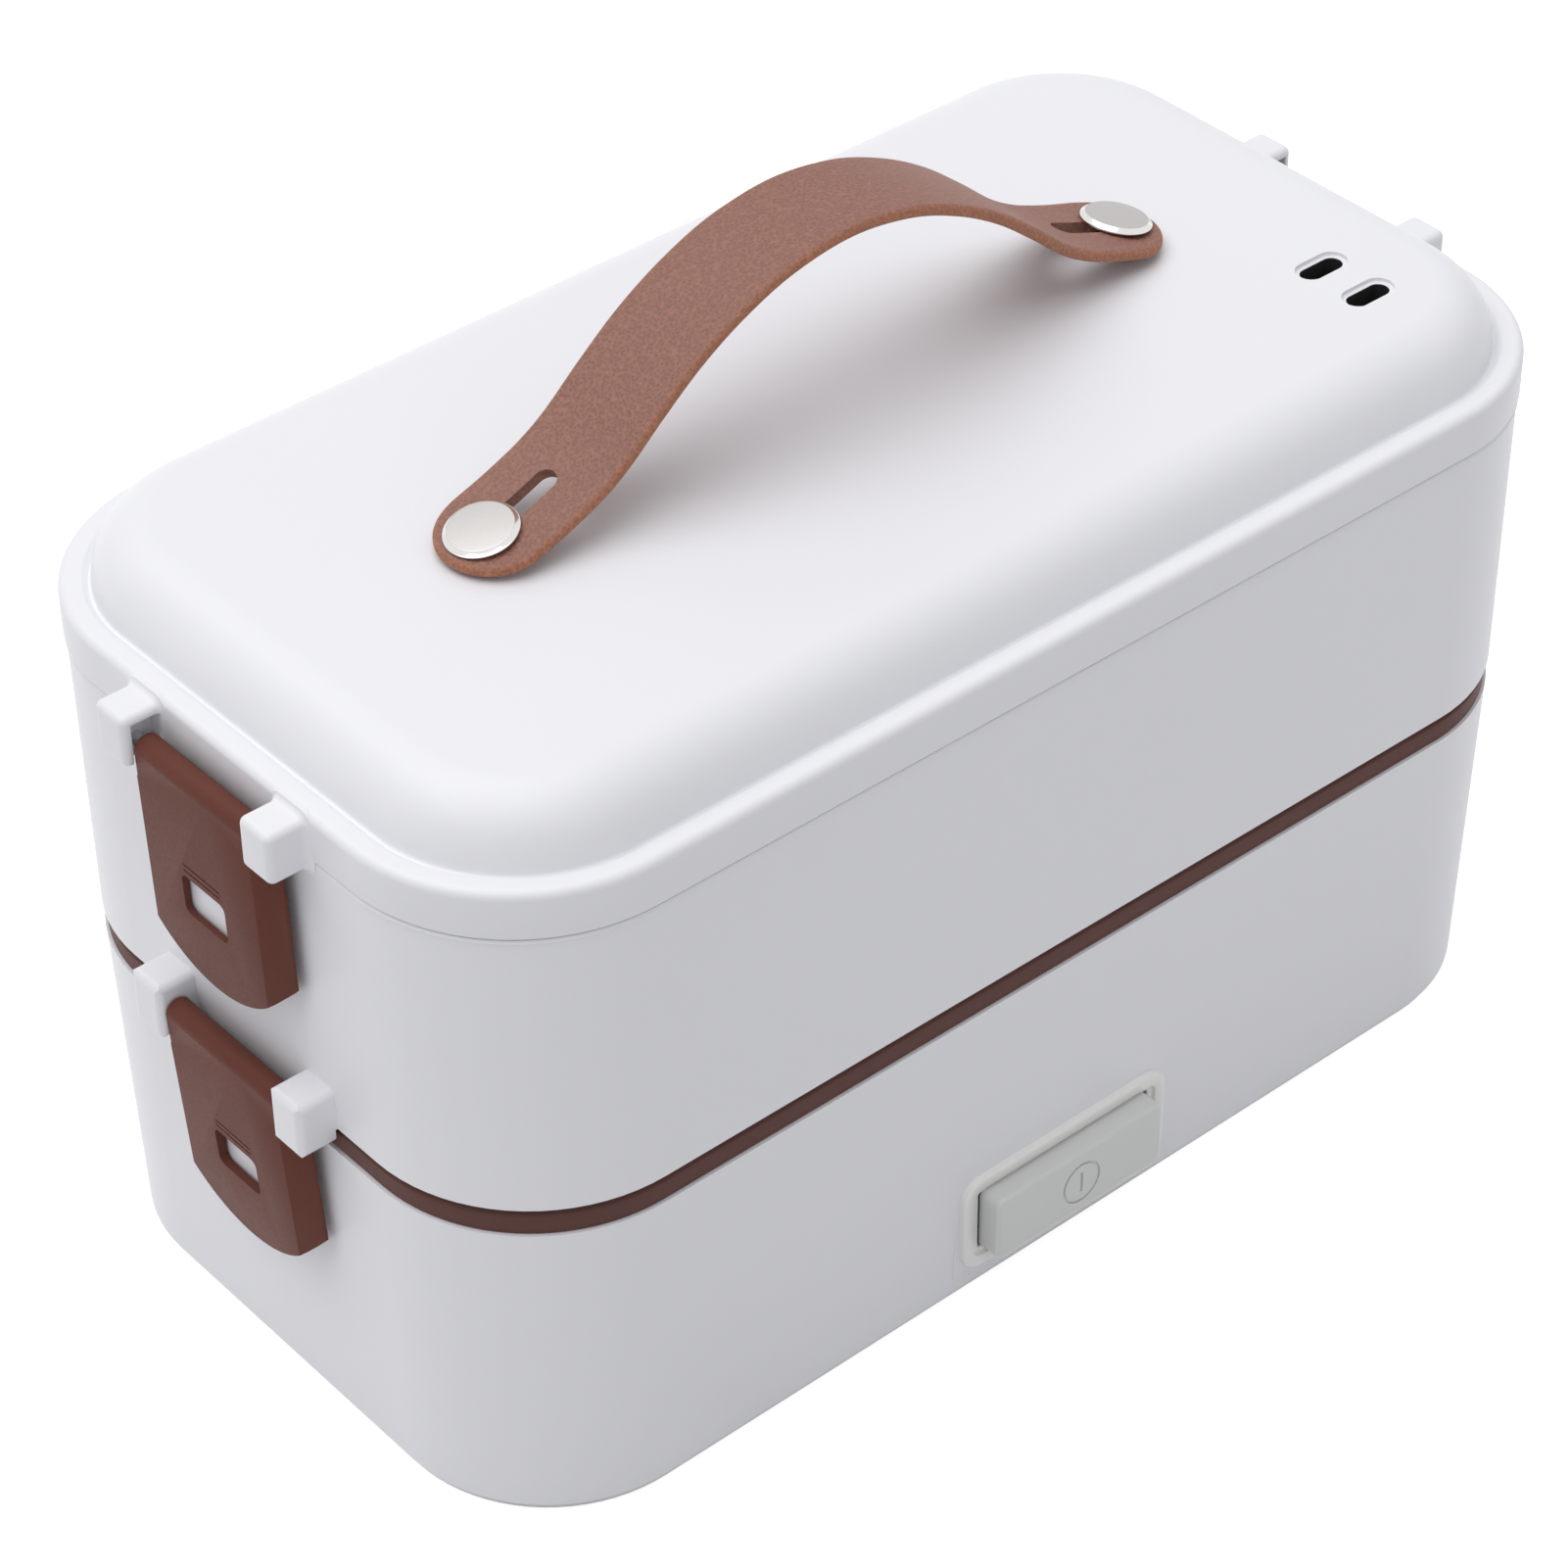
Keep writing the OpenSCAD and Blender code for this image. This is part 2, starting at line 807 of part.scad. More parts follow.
// Slot with round ends along X, cut between two heights
module steam_slot(len, wid, z0, z1) {
    translate([0, 0, z0])
        linear_extrude(z1 - z0) {
            square([len - wid, wid], center = true);
            for (x = [-1, 1])
                translate([x * (len - wid) / 2, 0])
                    circle(d = wid);
        }
}

// Inner cover of the lid: a plate with a plug ring that enters the upper tier
module lid_liner() {
    color([0.86, 0.86, 0.88])
        difference() {
            union() {
                plate(wall_t + fit, liner_z, liner_z + liner_t);
                swept()
                    translate([-wall_t - fit - plug_t, seam_z - plug_drop])
                        square([plug_t, liner_z + liner_t + rib_h - seam_z + plug_drop]);
            }
            for (y = vent_y)
                translate([vent_x - 12, y, liner_z - 2])
                    cylinder(d = 5, h = 6);
        }
}

module lid_seal() {
    color(silicone)
        swept()
            translate([-wall_t - fit, seam_z])
                square([wall_t + fit - skirt_t, seal_t]);
}

// Dark plate under the steam slots
module vent_insert() {
    color(dark)
        translate([vent_x, (vent_y[0] + vent_y[1]) / 2, vent_pad_z - 2])
            linear_extrude(2)
                rounded(vent_pad[0], vent_pad[1], 2);
}

// ---------------------------------------------------------------- latches

// Steel pins of one pair of latches
module latch_pins(pivot) {
    color(steel)
        both_ends()
            translate([pivot[0], 0, pivot[1]])
                rotate([90, 0, 0])
                    cylinder(d = pin_d, h = 2 * (ear_gap + ear_wid - 1.5), center = true);
}

module tier_latch_pins() {
    latch_pins(lower_pivot);
}

module lid_latch_pins() {
    latch_pins(upper_pivot);
}

// Drop below the pivot at which a swinging latch clears an ear that reaches out and down this far
function shoulder(out, drop) =
    norm([out - ear_edge_r, drop - ear_edge_r]) + ear_edge_r + swing_clear;

// Outline of a latch as seen from its end of the box, with the pivot at the origin
module latch_outline(neck) {
    translate([-barrel_wid / 2, -neck - 1])
        square([barrel_wid, neck + 1]);
    intersection() {
        translate([-latch_wid / 2, -latch_drop - 1])
            square([latch_wid, latch_drop + 1 - neck]);
        translate([0, latch_arc_r - latch_drop])
            circle(latch_arc_r);
    }
}

// Level section of a latch, with its edges bevelled towards the wall
module latch_section(out, wid) {
    polygon([
        [-latch_depth, -wid / 2],
        [out - bevel, -wid / 2],
        [out, -wid / 2 + bevel],
        [out, wid / 2 - bevel],
        [out - bevel, wid / 2],
        [-latch_depth, wid / 2]]);
}

// A latch closed against the +X end, whose foot leans towards the wall. An upright groove behind the
// window and the foot lets it pass the catch pad when its tier or lid is lifted.
module latch(pivot, neck, lean) {
    groove_wid = pad_wid + 2 * pad_side;
    color(brown)
        translate([pivot[0], 0, pivot[1]])
            difference() {
                rotate([0, lean, 0])
                    latch_body(neck);
                translate([-10, -groove_wid / 2, -latch_drop - 2])
                    cube([10 + groove_out(lean), groove_wid, latch_drop + 2 - pad_drop + pad_h / 2 + pad_side]);
            }
}

// A latch as it hangs straight down from its pivot: a bevelled shell with a window, on a barrel
module latch_body(neck) {
    difference() {
        union() {
            intersection() {
                rotate([90, 0, 90])
                    linear_extrude(20, center = true)
                        latch_outline(neck);
                difference() {
                    translate([0, 0, -latch_drop - 1])
                        linear_extrude(latch_drop + 1)
                            latch_section(face_out, latch_wid);
                    translate([0, 0, -latch_drop - 2])
                        linear_extrude(latch_drop - neck)
                            translate([-plate_t, 0])
                                latch_section(face_out, latch_wid - 2 * latch_side_t);
                    translate([-5, -latch_wid, -neck - 2.1])
                        cube([5, 2 * latch_wid, neck + 3]);
                }
            }
            rotate([90, 0, 0])
                cylinder(r = barrel_r, h = barrel_wid, center = true);
        }
        translate([-5, -window_wid / 2, -window_top - window_h])
            cube([10, window_wid, window_h]);
        rotate([90, 0, 0])
            cylinder(d = pin_d + 2 * running_fit, h = barrel_wid + 2, center = true);
    }
}

module lower_latch() {
    reach = half_len + wall_in(tier_z) + ear_out - lower_pivot[0];
    latch(lower_pivot, shoulder(reach, tier_ear_h - tier_pivot_drop), lower_lean);
}

module upper_latch() {
    reach = half_len + ear_out - upper_pivot[0];
    latch(upper_pivot, shoulder(reach, lid_ear_h - lid_pivot_drop), upper_lean);
}

module latch_lower_left() {
    mirror([1, 0, 0]) lower_latch();
}

module latch_lower_right() {
    lower_latch();
}

module latch_upper_left() {
    mirror([1, 0, 0]) upper_latch();
}

module latch_upper_right() {
    upper_latch();
}

// ---------------------------------------------------------------- strap

// Smooth curve through the arch points, u running from 0 to the last index
function arch_point(u) =
    let (i = max(0, min(floor(u), len(arch) - 2)), t = u - i,
        a = arch[abs(i - 1)], b = arch[i], c = arch[i + 1], d = arch[min(i + 2, len(arch) - 1)],
        a2 = i == 0 ? [-a[0], a[1]] : a)
    0.5 * (2 * b + (c - a2) * t + (2 * a2 - 5 * b + 4 * c - d) * t ^ 2
        + (3 * b - a2 - 3 * c + d) * t ^ 3);

function strap_point(u) = [arch_point(u)[0] * stud_x, strap_z + arch_point(u)[1] * strap_rise];

function strap_normal(u) =
    let (d = strap_point(u + 0.01) - strap_point(u - 0.01))
    [-d[1], d[0]] / norm(d);

function arch_side(lift) =
    [for (i = [0:arch_steps]) let (u = (len(arch) - 1) * (0.0005 + 0.999 * i / arch_steps))
        strap_point(u) + lift * strap_normal(u)];

module strap() {
    low = arch_side(0);
    high = arch_side(strap_t);
    color(leather)
        both_ends()
            intersection() {
                translate([0, strap_wid, 0])
                    rotate([90, 0, 0])
                        linear_extrude(2 * strap_wid)
                            polygon(concat(
                                [[0, low[0][1]]],
                                [for (p = low) if (p[0] > 0.5) p],
                                [for (i = [arch_steps:-1:0]) if (high[i][0] > 0.5) high[i]],
                                [[0, high[0][1]]]));
                translate([0, 0, top_z - 5])
                    linear_extrude(strap_rise + 20)
                        difference() {
                            union() {
                                translate([0, -strap_wid / 2])
                                    square([strap_end - strap_wid / 2, strap_wid]);
                                translate([strap_end - strap_wid / 2, 0])
                                    circle(d = strap_wid);
                            }
                            translate([stud_x - slot_travel, -strap_slot_w / 2])
                                square([slot_travel, strap_slot_w]);
                            for (x = [stud_x - slot_travel, stud_x])
                                translate([x, 0])
                                    circle(d = strap_slot_w);
                        }
            }
}

// Cap and shank of a stud; the cap lies on the strap and leans with it
module strap_caps() {
    color(steel)
        both_ends()
            translate([stud_x, 0, 0]) {
                translate([0, 0, stud_foot_z - nut_h])
                    cylinder(d = stud_d, h = cap_z + 0.3 - stud_foot_z + nut_h);
                translate([0, 0, cap_z])
                    rotate([0, cap_tilt, 0]) {
                        cylinder(d = cap_d, h = cap_t - cap_bevel);
                        translate([0, 0, cap_t - cap_bevel])
                            cylinder(d1 = cap_d, d2 = cap_d - 2 * cap_bevel, h = cap_bevel);
                    }
            }
}

module strap_washers() {
    color([0.9, 0.92, 0.93])
        both_ends()
            translate([stud_x, 0, top_z])
                difference() {
                    cylinder(d = washer_d, h = washer_t);
                    translate([0, 0, -1])
                        cylinder(d = stud_d, h = washer_t + 2);
                }
}

module stud_nuts() {
    color(steel)
        both_ends()
            translate([stud_x, 0, stud_foot_z - nut_h])
                difference() {
                    cylinder(d = 2 * stud_d + 0.2, h = nut_h, $fn = 6);
                    translate([0, 0, -1])
                        cylinder(d = stud_d, h = nut_h + 2, $fn = 64);
                }
}

base_shell();
base_cover();
feet();
base_screws();
band_ring();
heating_tray();
tray_seal();
heater();
heater_clamp();
clamp_nuts();
thermostat();
thermal_fuse();
inlet_socket();
inlet_pins();
switch_bezel();
switch_housing();
switch_button();
leads();
lower_bowl();
lower_bowl_lid();
lower_bowl_seal();
upper_shell();
steam_floor();
upper_bowl();
upper_bowl_lid();
upper_bowl_seal();
tier_latch_pins();
latch_lower_left();
latch_lower_right();
lid_shell();
lid_liner();
lid_seal();
vent_insert();
lid_latch_pins();
latch_upper_left();
latch_upper_right();
strap();
strap_caps();
strap_washers();
stud_nuts();
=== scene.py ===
"""Two-tier electric lunch box: the detailed pieces, finishes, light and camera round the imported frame.

Shapes are worked out in millimetres and turned into metres where a mesh is made. X runs along the
box, -Y towards the switch and Z up, as in the frame.
"""

import math

import bmesh
import bpy
import numpy as np
from mathutils import Matrix, Vector


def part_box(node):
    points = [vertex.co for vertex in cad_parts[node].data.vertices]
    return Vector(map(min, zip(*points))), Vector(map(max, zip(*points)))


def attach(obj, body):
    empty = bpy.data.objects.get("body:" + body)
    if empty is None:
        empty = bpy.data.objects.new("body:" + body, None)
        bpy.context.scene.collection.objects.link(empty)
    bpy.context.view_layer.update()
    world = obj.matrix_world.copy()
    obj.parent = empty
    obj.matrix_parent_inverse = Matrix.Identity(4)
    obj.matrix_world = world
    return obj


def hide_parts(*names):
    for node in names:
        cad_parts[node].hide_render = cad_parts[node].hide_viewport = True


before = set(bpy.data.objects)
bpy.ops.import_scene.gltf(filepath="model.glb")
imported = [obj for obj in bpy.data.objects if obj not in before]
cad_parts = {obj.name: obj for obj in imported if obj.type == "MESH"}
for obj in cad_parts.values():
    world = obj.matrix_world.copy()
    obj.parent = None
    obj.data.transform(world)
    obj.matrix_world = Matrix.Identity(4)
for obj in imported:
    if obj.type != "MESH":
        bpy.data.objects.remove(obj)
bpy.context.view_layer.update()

MM = 0.001


def edges(node):
    """Lowest and highest corners of a CAD node, in millimetres."""
    low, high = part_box(node)
    return np.array(low) / MM, np.array(high) / MM


# ---------------------------------------------------------------- sizes, from the frame

BAND_HIGH = edges("band_ring")[1]
BEZEL_LOW, BEZEL_HIGH = edges("switch_bezel")
BUTTON_LOW, BUTTON_HIGH = edges("switch_button")
SEAM_Z = edges("upper_shell")[1][2]
TIER_Z = BAND_HIGH[2]
WASHER_Z = edges("strap_washers")[0][2]
EAR_TIP = edges("lid_shell")[1][0]

HALF_LEN = 116.0
HALF_WID = 63.5
CORNER_R = 31.5

# ---------------------------------------------------------------- mesh helpers


def arc(cx, cy, radius, start, end, steps):
    """Points of a circle's arc: centre + radius * (cos a, sin a), a in degrees from start to end."""
    a = np.radians(np.linspace(start, end, steps + 1))
    return np.stack([cx + radius * np.cos(a), cy + radius * np.sin(a)], 1)


def line_up(*parts):
    """Joins points and runs of points into one run."""
    return np.vstack([np.atleast_2d(np.asarray(part, float)) for part in parts])


def grid_faces(rows, cols, wrap_rows=False, wrap_cols=False):
    """Quads of a grid of points: each joins a point to its neighbours in the next row and column."""
    r = np.arange(rows if wrap_rows else rows - 1)[:, None]
    c = np.arange(cols if wrap_cols else cols - 1)[None, :]
    r2, c2 = (r + 1) % rows, (c + 1) % cols
    return np.stack([r * cols + c, r2 * cols + c, r2 * cols + c2, r * cols + c2], -1).reshape(-1, 4)


def round_path(half_a, half_b, radius, arc_steps=16, steps_a=1, steps_b=1):
    """A rounded rectangle as centres and outward directions: a point at offset d lies at
    centre + direction * (radius + d). The centres rest at a corner while the direction turns by a
    quarter, then run along a side while it holds."""
    corners = np.array([(1, 1), (-1, 1), (-1, -1), (1, -1)]) * (half_a - radius, half_b - radius)
    centres, turns = [], []
    for i, corner in enumerate(corners):
        steps = steps_a if i % 2 == 0 else steps_b
        share = np.linspace(0, 1, steps + 1)[1:-1, None]
        after = corners[(i + 1) % 4]
        centres += [np.repeat(corner[None], arc_steps + 1, 0), corner + (after - corner) * share]
        turns += [90 * i + np.linspace(0, 90, arc_steps + 1), np.full(steps - 1, 90.0 * (i + 1))]
    angle = np.radians(np.concatenate(turns))
    return np.vstack(centres), np.stack([np.cos(angle), np.sin(angle)], 1), radius


def sweep(path, section, closed=False):
    """Carries a section round a path: point (i, j) = centre i + direction i * (radius + offset j), at
    height j. The section is a run of (offset, height)."""
    centres, directions, radius = path
    offset, height = section[:, 0], section[:, 1]
    flat = centres[:, None] + directions[:, None] * np.maximum(radius + offset, 0)[None, :, None]
    points = np.dstack([flat, np.broadcast_to(height, flat.shape[:2])])
    return points.reshape(-1, 3), grid_faces(len(centres), len(section), True, closed)


def middle(path, height, steps_a, steps_b):
    """The flat rectangle inside a path's centres, as a grid that meets the path's own points."""
    centres = path[0]
    a = np.linspace(centres[:, 0].min(), centres[:, 0].max(), steps_a + 1)
    b = np.linspace(centres[:, 1].min(), centres[:, 1].max(), steps_b + 1)
    aa, bb = np.meshgrid(a, b, indexing="ij")
    points = np.dstack([aa, bb, np.full_like(aa, height)]).reshape(-1, 3)
    return points, grid_faces(len(a), len(b))


def turned(section, steps=64):
    """Turns a section (radius, height) about the vertical axis: (r cos a, r sin a, height)."""
    a = np.linspace(0, 2 * np.pi, steps, endpoint=False)[:, None]
    r, h = section[:, 0][None], section[:, 1][None]
    points = np.dstack([r * np.cos(a), r * np.sin(a), np.broadcast_to(h, (steps, len(section)))])
    return points.reshape(-1, 3), grid_faces(steps, len(section), True)


def rectangle(half_a, half_b):
    """A rectangle's four corners, from its half sizes."""
    return np.array([(-half_a, -half_b), (half_a, -half_b), (half_a, half_b), (-half_a, half_b)])


def prism(outline, low, high):
    """A closed outline drawn out between two heights, with a flat face at each end."""
    n = len(outline)
    points = np.vstack([np.c_[outline, np.full(n, low)], np.c_[outline, np.full(n, high)]])
    i = np.arange(n)
    sides = np.stack([i, (i + 1) % n, (i + 1) % n + n, i + n], 1)
    return points, [i[::-1].tolist(), (i + n).tolist(), *sides.tolist()]


def placed(part, axes, offset=(0, 0, 0), scale=(1, 1, 1)):
    """Sets a part's first, second and third coordinates on the named axes, scaled and shifted."""
    points, faces = part
    out = np.empty_like(points)
    for k, axis in enumerate(axes):
        out[:, "xyz".index(axis)] = points[:, k]
    return out * scale + offset, faces


def joined(name, parts, sharp=38):
    """One object from several parts in millimetres: points that meet are merged, faces point out."""
    base, points, faces = 0, [], []
    for part_points, part_faces in parts:
        points.append(part_points)
        faces += [[base + int(k) for k in face] for face in part_faces]
        base += len(part_points)
    mesh = bpy.data.meshes.new(name)
    mesh.from_pydata((np.vstack(points) * MM).tolist(), [], faces)
    made = bmesh.new()
    made.from_mesh(mesh)
    bmesh.ops.remove_doubles(made, verts=made.verts, dist=0.002 * MM)
    bmesh.ops.dissolve_degenerate(made, edges=made.edges, dist=0.001 * MM)
    bmesh.ops.recalc_face_normals(made, faces=made.faces)
    made.to_mesh(mesh)
    made.free()
    shape = bpy.data.objects.new(name, mesh)
    bpy.context.scene.collection.objects.link(shape)
    smooth(shape, sharp)
    return shape


def smooth(shape, sharp):
    """Smooth shading that breaks where faces meet at more than the given angle."""
    shape.data.shade_smooth()
    shape.data.set_sharp_from_angle(angle=math.radians(sharp))


def applied(shape, sharp=38):
    """Turns a shape's modifiers into its mesh."""
    shown = shape.evaluated_get(bpy.context.evaluated_depsgraph_get())
    mesh = bpy.data.meshes.new_from_object(shown)
    shape.modifiers.clear()
    shape.data = mesh
    smooth(shape, sharp)
    return shape


def combined(shape, other, operation):
    """Cuts, joins or crosses a shape with another, which is then thrown away."""
    step = shape.modifiers.new(operation, "BOOLEAN")
    step.operation = operation
    step.object = other
    step.solver = "EXACT"
    applied(shape)
    bpy.data.objects.remove(other)
    return shape


def carved(shape, *parts):
    """Takes parts away from a shape, one after another."""
    for part in parts:
        combined(shape, joined("cut", [part]), "DIFFERENCE")
    return shape


def softened(shape, width, segments=3, angle=40, sharp=38):
    """Rounds every edge sharper than an angle by a width in millimetres."""
    step = shape.modifiers.new("soften", "BEVEL")
    step.width = width * MM
    step.segments = segments
    step.limit_method = "ANGLE"
    step.angle_limit = math.radians(angle)
    step.harden_normals = True
    return applied(shape, sharp)


# ---------------------------------------------------------------- finishes


def group(name, inputs, outputs):
    """An empty node group with its named sockets: (name, kind, default)."""
    tree = bpy.data.node_groups.new(name, "ShaderNodeTree")
    for label, kind, default in inputs:
        tree.interface.new_socket(label, in_out="INPUT", socket_type=kind).default_value = default
    for label, kind in outputs:
        tree.interface.new_socket(label, in_out="OUTPUT", socket_type=kind)
    return tree, tree.nodes.new("NodeGroupInput"), tree.nodes.new("NodeGroupOutput")


def fine_grain_group():
    """Pebbled grain: cell distance blended with noise, both in object space, as a height and a mask."""
    tree, given, result = group(
        "fine_grain",
        [("Cells per metre", "NodeSocketFloat", 2000.0), ("Speckle", "NodeSocketFloat", 0.5)],
        [("Height", "NodeSocketFloat"), ("Mask", "NodeSocketFloat")],
    )
    link = tree.links.new
    place = tree.nodes.new("ShaderNodeTexCoord")
    cells = tree.nodes.new("ShaderNodeTexVoronoi")
    cells.feature = "SMOOTH_F1"
    noise = tree.nodes.new("ShaderNodeTexNoise")
    noise.inputs["Detail"].default_value = 4
    mix = tree.nodes.new("ShaderNodeMix")
    for node in (cells, noise):
        link(place.outputs["Object"], node.inputs["Vector"])
        link(given.outputs["Cells per metre"], node.inputs["Scale"])
    link(given.outputs["Speckle"], mix.inputs["Factor"])
    link(cells.outputs["Distance"], mix.inputs["A"])
    link(noise.outputs["Fac"], mix.inputs["B"])
    link(mix.outputs["Result"], result.inputs["Height"])
    spread = tree.nodes.new("ShaderNodeMapRange")
    spread.inputs["From Min"].default_value = 0.3
    spread.inputs["From Max"].default_value = 0.7
    link(mix.outputs["Result"], spread.inputs["Value"])
    link(spread.outputs["Result"], result.inputs["Mask"])
    return tree


def drift_group():
    """Slow change of a colour over a surface: broad noise that slides between two colours."""
    tree, given, result = group(
        "tone_drift",
        [
            ("Colour", "NodeSocketColor", (1, 1, 1, 1)),
            ("Other colour", "NodeSocketColor", (1, 1, 1, 1)),
            ("Patches per metre", "NodeSocketFloat", 18.0),
        ],
        [("Colour", "NodeSocketColor"), ("Mask", "NodeSocketFloat")],
    )
    link = tree.links.new
    place = tree.nodes.new("ShaderNodeTexCoord")
    noise = tree.nodes.new("ShaderNodeTexNoise")
    noise.inputs["Detail"].default_value = 3
    mix = tree.nodes.new("ShaderNodeMix")
    mix.data_type = "RGBA"
    link(place.outputs["Object"], noise.inputs["Vector"])
    link(given.outputs["Patches per metre"], noise.inputs["Scale"])
    link(noise.outputs["Fac"], mix.inputs["Factor"])
    link(given.outputs["Colour"], mix.inputs["A"])
    link(given.outputs["Other colour"], mix.inputs["B"])
    link(mix.outputs["Result"], result.inputs["Colour"])
    link(noise.outputs["Fac"], result.inputs["Mask"])
    return tree


FINE_GRAIN = fine_grain_group()
TONE_DRIFT = drift_group()


def finish_of(name, colour, other, rough, grain=2500, depth=0.02, speckle=0.5, **constants):
    """A finish whose colour drifts between two tones and whose surface has a fine grain: the grain
    feeds a bump of the given depth in millimetres, and moves the roughness a little."""
    material = bpy.data.materials.new(name)
    material.use_nodes = True
    nodes, link = material.node_tree.nodes, material.node_tree.links.new
    shader = nodes["Principled BSDF"]
    for socket, value in constants.items():
        shader.inputs[socket.replace("_", " ")].default_value = value
    tone = nodes.new("ShaderNodeGroup")
    tone.node_tree = TONE_DRIFT
    tone.name = "tone"
    tone.inputs["Colour"].default_value = (*colour, 1)
    tone.inputs["Other colour"].default_value = (*other, 1)
    link(tone.outputs["Colour"], shader.inputs["Base Color"])
    texture = nodes.new("ShaderNodeGroup")
    texture.node_tree = FINE_GRAIN
    texture.name = "texture"
    texture.inputs["Cells per metre"].default_value = grain
    texture.inputs["Speckle"].default_value = speckle
    bump = nodes.new("ShaderNodeBump")
    bump.inputs["Distance"].default_value = depth * MM
    link(texture.outputs["Height"], bump.inputs["Height"])
    link(bump.outputs["Normal"], shader.inputs["Normal"])
    gloss = nodes.new("ShaderNodeMapRange")
    gloss.name = "gloss"
    gloss.inputs["To Min"].default_value = rough * 0.92
    gloss.inputs["To Max"].default_value = min(rough * 1.1, 1)
    link(texture.outputs["Mask"], gloss.inputs["Value"])
    link(gloss.outputs["Result"], shader.inputs["Roughness"])
    return material


def strap_finish():
    """Pebbled leather-like strap: brown faces, warmer cut edges where the attribute "edge" rises to 1,
    and grain that also speckles the colour."""
    material = finish_of(
        "strap_grain", STRAP_FACE, STRAP_FACE_DARK, 0.62, grain=1900, depth=0.24, speckle=0.3
    )
    nodes, link = material.node_tree.nodes, material.node_tree.links.new
    shader = nodes["Principled BSDF"]
    edge = nodes.new("ShaderNodeAttribute")
    edge.attribute_name = "edge"
    warm = nodes.new("ShaderNodeMix")
    warm.data_type = "RGBA"
    warm.inputs["B"].default_value = (*STRAP_EDGE, 1)
    speckled = nodes.new("ShaderNodeMix")
    speckled.data_type = "RGBA"
    speckled.blend_type = "MULTIPLY"
    speckled.inputs["Factor"].default_value = 0.36
    link(nodes["tone"].outputs["Colour"], warm.inputs["A"])
    link(edge.outputs["Fac"], warm.inputs["Factor"])
    link(warm.outputs["Result"], speckled.inputs["A"])
    link(nodes["texture"].outputs["Mask"], speckled.inputs["B"])
    link(speckled.outputs["Result"], shader.inputs["Base Color"])
    return material


def brushed_finish(name, colour, rough, along, grain=900, depth=0.01, **constants):
    """Metal with fine scratches: noise stretched along one axis feeds the bump and the roughness."""
    material = finish_of(name, colour, colour, rough, grain, depth, 1.0, Metallic=1.0, **constants)
    nodes, link = material.node_tree.nodes, material.node_tree.links.new
    place = nodes.new("ShaderNodeTexCoord")
    stretch = nodes.new("ShaderNodeMapping")
    stretch.inputs["Scale"].default_value = along
    scratch = nodes.new("ShaderNodeTexNoise")
    scratch.inputs["Scale"].default_value = grain
    scratch.inputs["Detail"].default_value = 3
    link(place.outputs["Object"], stretch.inputs["Vector"])
    link(stretch.outputs["Vector"], scratch.inputs["Vector"])
    link(scratch.outputs["Fac"], nodes["Bump"].inputs["Height"])
    link(scratch.outputs["Fac"], nodes["gloss"].inputs["Value"])
    return material


STRAP_FACE = (0.385, 0.18, 0.135)
STRAP_FACE_DARK = (0.335, 0.152, 0.112)
STRAP_EDGE = (0.47, 0.185, 0.10)

WHITE = finish_of("white_satin", (0.87, 0.87, 0.905), (0.885, 0.885, 0.92), 0.42, depth=0.004)
COVER = finish_of("cover_grey", (0.72, 0.72, 0.74), (0.75, 0.75, 0.77), 0.5, depth=0.01)
INNER = finish_of("inner_white", (0.80, 0.80, 0.82), (0.83, 0.83, 0.85), 0.45, depth=0.006)
LATCH = finish_of(
    "latch_brown", (0.135, 0.044, 0.031), (0.145, 0.049, 0.035), 0.55, grain=1800, depth=0.012,
    Specular_IOR_Level=0.12,
)
BAND = finish_of(
    "band_brown", (0.112, 0.049, 0.041), (0.122, 0.054, 0.046), 0.58, grain=1800, depth=0.01,
    Specular_IOR_Level=0.15,
)
FOOT = finish_of(
    "foot_rubber", (0.045, 0.043, 0.043), (0.06, 0.058, 0.058), 0.75, grain=1500, depth=0.03
)
DARK = finish_of("dark_plastic", (0.02, 0.019, 0.02), (0.03, 0.029, 0.03), 0.5)
SEAL = finish_of("milky_silicone", (0.72, 0.73, 0.74), (0.76, 0.77, 0.78), 0.4)
LEAD = finish_of("lead_red", (0.30, 0.03, 0.02), (0.34, 0.04, 0.03), 0.5)
MILKY = finish_of(
    "milky_switch", (0.68, 0.69, 0.68), (0.71, 0.72, 0.71), 0.33, depth=0.004, Coat_Weight=0.1
)
MILKY_FRAME = finish_of(
    "milky_frame", (0.89, 0.88, 0.86), (0.905, 0.895, 0.875), 0.35, depth=0.004, Coat_Weight=0.1
)
CLEAR = finish_of(
    "clear_washer", (0.93, 0.95, 0.96), (0.95, 0.96, 0.97), 0.12, depth=0.0,
    Transmission_Weight=0.9, IOR=1.46,
)
STRAP = strap_finish()
CAP = brushed_finish("cap_satin", (0.52, 0.505, 0.495), 0.4, (1, 1, 1), grain=1600, depth=0.02)
CAP_BEVEL = brushed_finish("cap_bright", (0.78, 0.765, 0.75), 0.14, (1, 1, 1), grain=600, depth=0.003)
STEEL = brushed_finish("bright_steel", (0.62, 0.62, 0.63), 0.26, (0.05, 1, 1))
HEATER = finish_of("heater_plate", (0.5, 0.49, 0.47), (0.53, 0.52, 0.5), 0.45, Metallic=1.0)
BRASS = finish_of("contact_brass", (0.62, 0.45, 0.18), (0.66, 0.49, 0.2), 0.3, Metallic=1.0)

